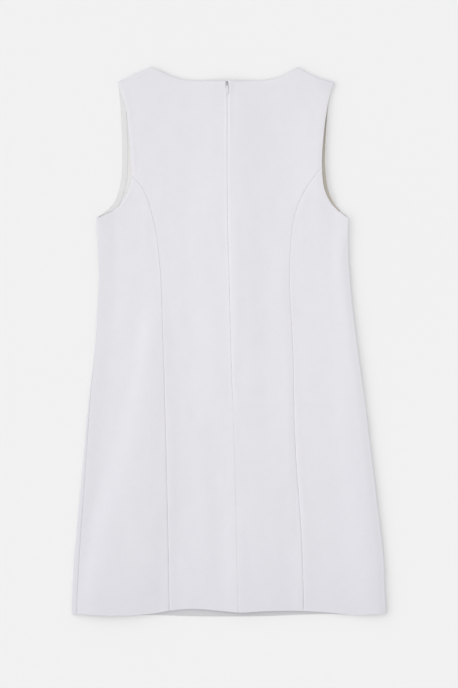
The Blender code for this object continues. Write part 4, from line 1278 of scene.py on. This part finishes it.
# zip: woven tapes, nylon coil, slider and pull tab
zipParts = {
    "tail": 14 * mm,
    "tapeDrop": 1.5 * mm,
    "tapeWidth": 10.5 * mm,
    "tapeWall": 0.45 * mm,
    "solidTape": 1.0 * mm,
    "clearance": 0.35 * mm,
    "tapeRows": 200,
    "tapeColumns": 12,
    "coilDrop": 12.0 * mm,  # from the neck edge to the coil's upper end
    "coilTail": 2 * mm,
    "coilSteps": 10,  # in each turn
    "coilPitch": 1.15 * mm,
    "coilWide": 1.25 * mm,
    "coilHigh": 0.80 * mm,
    "wire": 0.30 * mm,
}


def tapeMiddle(x, y):
    return backHeight(x, y) - halfSolid - zipParts["clearance"] - zipParts["solidTape"] / 2


def makeTape(side):
    level = blend(zipEnd - zipParts["tail"], neckLevel - zipParts["tapeDrop"],
                  np.linspace(0, 1, zipParts["tapeRows"]))
    share = gradedShares(zipParts["tapeWidth"], zipParts["tapeColumns"], 0.12 * mm, 0.12 * mm)[0]
    inner = readLine(centreAcross, level) + side * (lipOffset(level) + zipParts["coilWide"] * 0.55)
    wide = zipParts["tapeWidth"] - zipParts["coilWide"] * 0.55
    x = inner[:, None] + side * wide * share[None, :]
    y = np.broadcast_to(level[:, None], x.shape)
    middle = joined(x, y, tapeMiddle(x, y))
    out = np.broadcast_to(up, middle.shape)
    away = np.minimum(share, 1 - share)[None, :] * wide
    fromEnds = np.minimum(level - level[0], level[-1] - level)[:, None]
    wall = zipParts["tapeWall"]
    thick = np.minimum(edgeThickness(away, wall / 2, wall), edgeThickness(fromEnds, wall / 2, wall))
    item = shellObject(sideName("zipTape", side), middle, out, thick)
    return finishPiece(item, tapeCloth, "zip_tape", sideNode("zip_tape_", side))


def sweep(path, section, sideways):
    # points and faces of a section carried along a path, closed at both ends
    run = unit(np.gradient(path, axis=0))
    first = unit(sideways - run * (run @ sideways)[:, None])
    second = np.cross(run, first)
    ring = first[:, None, :] * section[None, :, :1] + second[:, None, :] * section[None, :, 1:]
    points = (path[:, None, :] + ring).reshape(-1, 3)
    n, m = len(path), len(section)
    i = np.arange(n - 1)[:, None] * m
    j = np.arange(m)[None, :]
    k = (j + 1) % m
    quads = joined(i + j, i + m + j, i + m + k, i + k).reshape(-1, 4).tolist()
    return points, quads + [list(range(m)), list(range((n - 1) * m, n * m))]


def roundSection(radius, sides):
    turns = np.arange(sides) * 2 * np.pi / sides
    return joined(np.cos(turns), np.sin(turns)) * radius


def makeCoil(side):
    # one continuous nylon spiral on the tape's inner edge
    top = neckLevel - zipParts["coilDrop"]
    bottom = zipEnd - zipParts["coilTail"]
    turns = int((top - bottom) / zipParts["coilPitch"])
    steps = turns * zipParts["coilSteps"]
    turn = np.linspace(0.0, turns * 2 * np.pi, steps + 1) + (math.pi if side > 0 else 0.0)
    level = np.linspace(bottom, top, steps + 1)
    half = zipParts["coilWide"] / 2
    centre = readLine(centreAcross, level) + side * (lipOffset(level) + half + zipParts["wire"] * 0.15)
    x = centre + np.cos(turn) * (half - zipParts["wire"] / 2)
    z = tapeMiddle(centre, level) + np.sin(turn) * (zipParts["coilHigh"] / 2 - zipParts["wire"] / 2)
    path = joined(x, level, z)
    points, faces = sweep(path, roundSection(zipParts["wire"] / 2, 5), np.array((0.0, 1.0, 0.0)))
    item = meshObject(sideName("zipCoil", side), points, faces, turnOut=True)
    return finishPiece(item, nylon, "zip_tape")


for side in (-1, 1):
    makeTape(side)
    makeCoil(side)
print("zip tapes and coil made")


# slider with its arch, and the pull tab that turns on the arch
slider = {
    "long": 9.4 * mm,
    "wide": 4.2 * mm,
    "tail": 3.3 * mm,  # width at the lower end
    "drop": 1.2 * mm,
    "corner": 1.3 * mm,
    "shoulder": 2.5 * mm,
    "points": 96,
    "edgeRound": 0.35 * mm,
    "neckIn": 0.75 * mm,  # the part between the lips is narrower than the plate under them
    "neckTall": 1.15 * mm,
    "eye": 1.7 * mm,
    "post": 0.9 * mm,
    "roof": 0.7 * mm,
    "archWide": 1.0 * mm,
    "archHigh": 0.72 * mm,
    "archCorner": 0.22 * mm,
    "archBend": 0.75 * mm,
    "archSunk": 0.3 * mm,  # how far its feet stand in the body
}
tab = {
    "thick": 0.8 * mm,
    "clearance": 0.3 * mm,
    "long": 16 * mm,
    "topWide": 3.0 * mm,
    "footWide": 3.7 * mm,
    "holeWide": 1.7 * mm,
    "holeLong": 2.4 * mm,
    "holeCorner": 0.35 * mm,
    "corner": 0.5 * mm,
    "waist": 4 * mm,  # how softly the tab widens below its hole
    "points": 150,
    "edgeRound": 0.18 * mm,
    "holeRound": 0.9 * mm,  # about half the hole's size, which its rounded rim grows by
    "hollow": 0.14 * mm,  # shallow dish pressed into the grip
    "hollowFrom": -4.2 * mm,
    "hollowFade": 1.5 * mm,
}


def heightAt(x, y):
    return float(backHeight(np.array([x]), np.array([y]))[0])


def sliderPivot():
    level = neckLevel - slider["drop"] - slider["long"] / 2
    across = float(readLine(centreAcross, np.array(level)))
    lipTop = heightAt(across, level) + halfSolid
    return np.array((across, level, lipTop + tab["clearance"] + tab["thick"] / 2))


def roundedOutline(corners, radii, steps=7):
    # outline through corners, each one rounded by its radius, run anticlockwise
    points = []
    corners = np.array(corners, float)
    for i, corner in enumerate(corners):
        back = unit(corners[i - 1] - corner)
        ahead = unit(corners[(i + 1) % len(corners)] - corner)
        half = math.acos(np.clip(np.dot(back, ahead), -1.0, 1.0)) / 2
        away = radii[i] / math.tan(half)
        centre = corner + unit(back + ahead) * radii[i] / math.sin(half)
        start = corner + back * away - centre
        end = corner + ahead * away - centre
        first = math.atan2(start[1], start[0])
        turn = (math.atan2(end[1], end[0]) - first + math.pi) % (2 * math.pi) - math.pi
        for share in np.linspace(0.0, 1.0, steps):
            angle = first + turn * share
            points.append(centre + radii[i] * np.array((math.cos(angle), math.sin(angle))))
    return np.array(points)


def evenOutline(points, count):
    closed = np.vstack((points, points[:1]))
    steps = np.concatenate(([0.0], np.cumsum(np.linalg.norm(np.diff(closed, axis=0), axis=1))))
    place = np.linspace(0.0, steps[-1], count + 1)[:-1]
    return joined(*(np.interp(place, steps, values) for values in closed.T))


def insetOutline(points, distance):
    run = unit(np.roll(points, -1, axis=0) - np.roll(points, 1, axis=0))
    return points + leftOf(run) * distance


def ringFaces(rings, count, closed=False):
    faces = []
    for r in range(rings if closed else rings - 1):
        low, high = r * count, (r + 1) % rings * count
        for c in range(count):
            d = (c + 1) % count
            faces.append((low + c, low + d, high + d, high + c))
    return faces


def roundProfile(radius, steps=4):
    # inset and drop pairs round an edge, from the top face to the side
    turns = np.linspace(0.0, np.pi / 2, steps + 1)
    return [(radius * (1 - math.sin(turn)), radius * (1 - math.cos(turn))) for turn in turns]


def ringPoints(rings):
    # points of rings, each one an outline with its height
    return np.vstack([np.column_stack((ring, np.broadcast_to(z, len(ring)))) for ring, z in rings])


def makeSlider():
    pivot = sliderPivot()
    bodyTop = -slider["eye"] / 2
    tapeTop = heightAt(pivot[0] + lay["lipOpening"], pivot[1]) - halfSolid - zipParts["clearance"]
    bodyBottom = tapeTop - zipParts["solidTape"] - pivot[2]
    half, tail, long = slider["wide"] / 2, slider["tail"] / 2, slider["long"] / 2
    corner, shoulder = slider["corner"], slider["shoulder"]
    corners = [(-tail, -long), (tail, -long), (half, long * 0.15), (half, long),
               (-half, long), (-half, long * 0.15)]
    radii = [corner, corner, shoulder, corner, corner, shoulder]
    count = slider["points"]
    outline = evenOutline(roundedOutline(corners, radii), count)
    edge = roundProfile(slider["edgeRound"])
    neckFoot = bodyTop - slider["neckTall"]
    levels = [(inset + slider["neckIn"], bodyTop - drop) for inset, drop in edge]
    levels += [(slider["neckIn"], neckFoot), (slider["edgeRound"], neckFoot - 0.12 * mm),
               (0.0, neckFoot - 0.35 * mm)]
    levels += [(inset, bodyBottom + drop) for inset, drop in edge[::-1]]
    rings = [(outline * 0.35, bodyTop + 0.12 * mm)]
    rings += [(insetOutline(outline, inset), z) for inset, z in levels]
    rings += [(outline * 0.35, bodyBottom)]
    points = ringPoints(rings)
    last = len(points) - count
    faces = ringFaces(len(rings), count) + [range(count), range(last, last + count)]

    # arch from the body's lower end to its upper end, over the tab's bar
    outer = slider["eye"] / 2 + slider["post"] / 2
    roof = slider["eye"] / 2 + slider["roof"] / 2
    foot = -slider["eye"] / 2 - slider["archSunk"]
    bend = slider["archBend"]
    rise = [(outer, foot), (outer, (foot + roof - bend) / 2)]
    rise += [(outer - bend * (1 - math.cos(t)), roof - bend * (1 - math.sin(t)))
             for t in np.linspace(0.0, np.pi / 2, 9)]
    path = np.array(rise + [(-y, z) for y, z in rise[::-1]])
    path = np.column_stack((np.zeros(len(path)), path))
    across, high = slider["archWide"] / 2, slider["archHigh"] / 2
    corners = [(-across, -high), (across, -high), (across, high), (-across, high)]
    section = evenOutline(roundedOutline(corners, [slider["archCorner"]] * 4), 24)
    archPoints, archFaces = sweep(path, section, np.array((1.0, 0.0, 0.0)))
    faces += [[number + len(points) for number in face] for face in archFaces]
    item = meshObject("zipSlider", np.vstack((points, archPoints)) + pivot, faces, turnOut=True)
    return finishPiece(item, sliderShadeEnamel, "zip_enamel", "zip_slider")


def makePullTab():
    bar = half = tab["thick"] / 2
    top, foot, hole = tab["topWide"] / 2, tab["footWide"] / 2, tab["holeWide"] / 2
    holeEnd = -bar - tab["holeLong"]
    corners = [(-foot, -tab["long"]), (foot, -tab["long"]), (top, holeEnd), (top, bar), (-top, bar),
               (-top, holeEnd)]
    footRound, corner, waist = foot * 0.93, tab["corner"], tab["waist"]
    radii = [footRound, footRound, waist, corner, corner, waist]
    count = tab["points"]
    outer = evenOutline(roundedOutline(corners, radii, 14), count)
    corners = [(-hole, holeEnd), (hole, holeEnd), (hole, -bar), (-hole, -bar)]
    holeOutline = evenOutline(roundedOutline(corners, [tab["holeCorner"]] * 4), 400)
    # each outline point gets the hole's point in the same direction from the hole's middle
    middle = np.array((0.0, (holeEnd - bar) / 2))
    outerTurn, holeTurn = (np.arctan2(*(ring - middle).T[::-1]) for ring in (outer, holeOutline))
    gap = np.abs((outerTurn[:, None] - holeTurn[None, :] + np.pi) % (2 * np.pi) - np.pi)
    inner = holeOutline[np.argmin(gap, axis=1)] - middle
    edge = roundProfile(tab["edgeRound"])
    holeRings = [(middle + inner * (1 + inset / tab["holeRound"]), half - drop)
                 for inset, drop in edge[::-1]]
    outerRings = [(insetOutline(outer, inset), half - drop) for inset, drop in edge]
    grip = []
    for share in (0.25, 0.5, 0.75):
        ring = blend(holeRings[-1][0], outerRings[0][0], share)
        sunk = ease((tab["hollowFrom"] - ring[:, 1]) / tab["hollowFade"]) * tab["hollow"]
        grip.append((ring, half - sunk))
    under = [(ring, -z) for ring, z in outerRings[::-1] + holeRings[::-1]]
    rings = holeRings + grip + outerRings + under
    points = ringPoints(rings) + sliderPivot()
    item = meshObject("zipPullTab", points, ringFaces(len(rings), count, True), turnOut=True)
    return finishPiece(item, tabEnamel, "zip_enamel", "zip_pull_tab", body="pull_tab")


makeSlider()
makePullTab()
print("slider and pull tab made")


# sewing thread: seam stitches down in the seams, and hand-picked hem
stitching = {"pitch": 2.5 * mm, "thread": 0.11 * mm, "reach": 0.34 * mm, "sink": 0.08 * mm,
             "hemPitch": 9 * mm, "hemUp": 27 * mm, "hemFrom": -236 * mm, "hemTo": 238 * mm,
             "pickLong": 0.9 * mm, "seamEnds": (2 * mm, 3 * mm), "skew": 0.25 * mm, "bow": 0.10 * mm,
             "pickSkew": 0.15 * mm, "pickProud": 0.03 * mm, "pickUneven": 0.6 * mm}


def stitchRow(seam, firstStop, lastStop):
    stops = np.arange(firstStop, lastStop, stitching["pitch"])
    places = readLine(seam, stops)
    ways = squareTo(places, 1)
    rows = []
    share = np.linspace(-1.0, 1.0, 6)
    for place, way in zip(places, ways):
        skew = np.array((-way[1], way[0])) * stitching["skew"]
        xy = place + way * share[:, None] * stitching["reach"] + skew * share[:, None]
        z = clothHeight(xy[:, 0], xy[:, 1]) + stitching["sink"] + stitching["bow"] * share ** 2
        rows.append(np.column_stack((xy, z)))
    return rows


def threadObject(name, paths):
    section = roundSection(stitching["thread"], 5)
    points, faces = [], []
    for path in paths:
        sideways = np.cross(up, unit(path[-1] - path[0]))
        bar, barFaces = sweep(path, section, sideways)
        start = len(points) * len(bar)
        faces += [[number + start for number in face] for face in barFaces]
        points.append(bar)
    item = meshObject(name, np.vstack(points), faces, turnOut=True)
    return finishPiece(item, thread, "back_cloth")


firstStitch, lastStitch = stitching["seamEnds"]  # way from a seam's two ends
for side, seam in princessLine.items():
    stitches = stitchRow(seam, firstStitch, seam["stops"][-1] - lastStitch)
    threadObject(sideName("seamStitches", side), stitches)
threadObject("seamStitchesCentre", stitchRow(centreLine, firstStitch, zipEnd - centreBack[0][1]))


def hemPicks():
    paths = []
    x = stitching["hemFrom"]
    share = np.linspace(-1.0, 1.0, 6)
    count = 0
    while x < stitching["hemTo"]:
        y = float(readLine(hemLine["back"], np.array(x))) + stitching["hemUp"]
        y += stitching["pickUneven"] * math.sin(count * 1.9)
        px = x + share * stitching["pickLong"] / 2
        py = y + share * stitching["pickSkew"]
        z = clothHeight(px, py) + halfSolid + stitching["pickProud"] - stitching["bow"] * share ** 2
        paths.append(np.column_stack((px, py, z)))
        x += stitching["hemPitch"] * (1.0 + 0.08 * math.sin(count * 2.7))
        count += 1
    return paths


threadObject("hemPicks", hemPicks())
print("stitches made")


# floor, light and camera
studio = {
    "floorColour": (0.86, 0.86, 0.86),
    "skyColour": (1.0, 1.0, 1.0),
    "skyStrength": 0.889,
    "lowLight": 3.1,  # how much brighter the low soft light is than the sky round it
    "lowTurn": 168,  # degrees from +X, the side that it stands on
    "lowSpread": (0.20, 0.80),  # how far round it reaches
    "lowFoot": (0.06, 0.16),  # how high it starts and ends
    "lowTop": (0.32, 0.50),
    "lens": 85,
    "sensor": 36,
    "cameraPlace": (-0.0004, -0.0041),
    "spanTall": 1.1283,
    "floorHalf": 3.0,
}


def makeFloor():
    corners = np.array([(-1, -1, 0), (1, -1, 0), (1, 1, 0), (-1, 1, 0)]) * studio["floorHalf"]
    item = meshObject("floor", corners, [(0, 1, 2, 3)])
    settings = {"Roughness": 0.9, "Specular IOR Level": 0.1}
    material, tree, shader, where = newMaterial("paleFloor", settings)
    low = [part * 0.995 for part in studio["floorColour"]]
    tone = rampNode(tree, noiseNode(tree, where, 1.2, 2.0), low, studio["floorColour"], 0.3, 0.7)
    setInputs(tree, shader, {"Base Color": tone})
    item.data.materials.append(material)
    return item


def stepNode(tree, value, low, high, lowResult=0.0, highResult=1.0):
    inputs = {"Value": value, "From Min": low, "From Max": high, "To Min": lowResult, "To Max": highResult}
    return addNode(tree, "ShaderNodeMapRange", inputs, interpolation_type="SMOOTHSTEP").outputs["Result"]


def makeLight():
    # an even soft sky with one wide, low soft light in it
    world = bpy.data.worlds.new("studioSky")
    bpy.context.scene.world = world
    world.use_nodes = True
    tree = world.node_tree
    where = addNode(tree, "ShaderNodeTexCoord").outputs["Generated"]
    turn = math.radians(studio["lowTurn"])
    inputs = {0: where, 1: (math.cos(turn), math.sin(turn), 0.0)}
    facing = addNode(tree, "ShaderNodeVectorMath", inputs, operation="DOT_PRODUCT").outputs["Value"]
    height = addNode(tree, "ShaderNodeSeparateXYZ", {"Vector": where}).outputs["Z"]
    light = stepNode(tree, facing, *studio["lowSpread"])
    for factor in (stepNode(tree, height, *studio["lowFoot"]),
                   stepNode(tree, height, *studio["lowTop"], 1.0, 0.0), studio["lowLight"]):
        light = mathNode(tree, "MULTIPLY", light, factor)
    light = mathNode(tree, "MULTIPLY", mathNode(tree, "ADD", light, 1.0), studio["skyStrength"])
    setInputs(tree, tree.nodes["Background"], {"Color": (*studio["skyColour"], 1.0), "Strength": light})


def makeCamera():
    data = bpy.data.cameras.new("photoCamera")
    data.lens = studio["lens"]
    data.sensor_width = studio["sensor"]
    data.clip_end = 50.0
    item = bpy.data.objects.new("photoCamera", data)
    height = studio["spanTall"] * studio["lens"] / studio["sensor"]
    item.location = (*studio["cameraPlace"], height)
    bpy.context.scene.collection.objects.link(item)
    bpy.context.scene.camera = item


makeFloor()
makeLight()
makeCamera()
bpy.context.scene.view_settings.view_transform = "Standard"
print("floor, light and camera made")
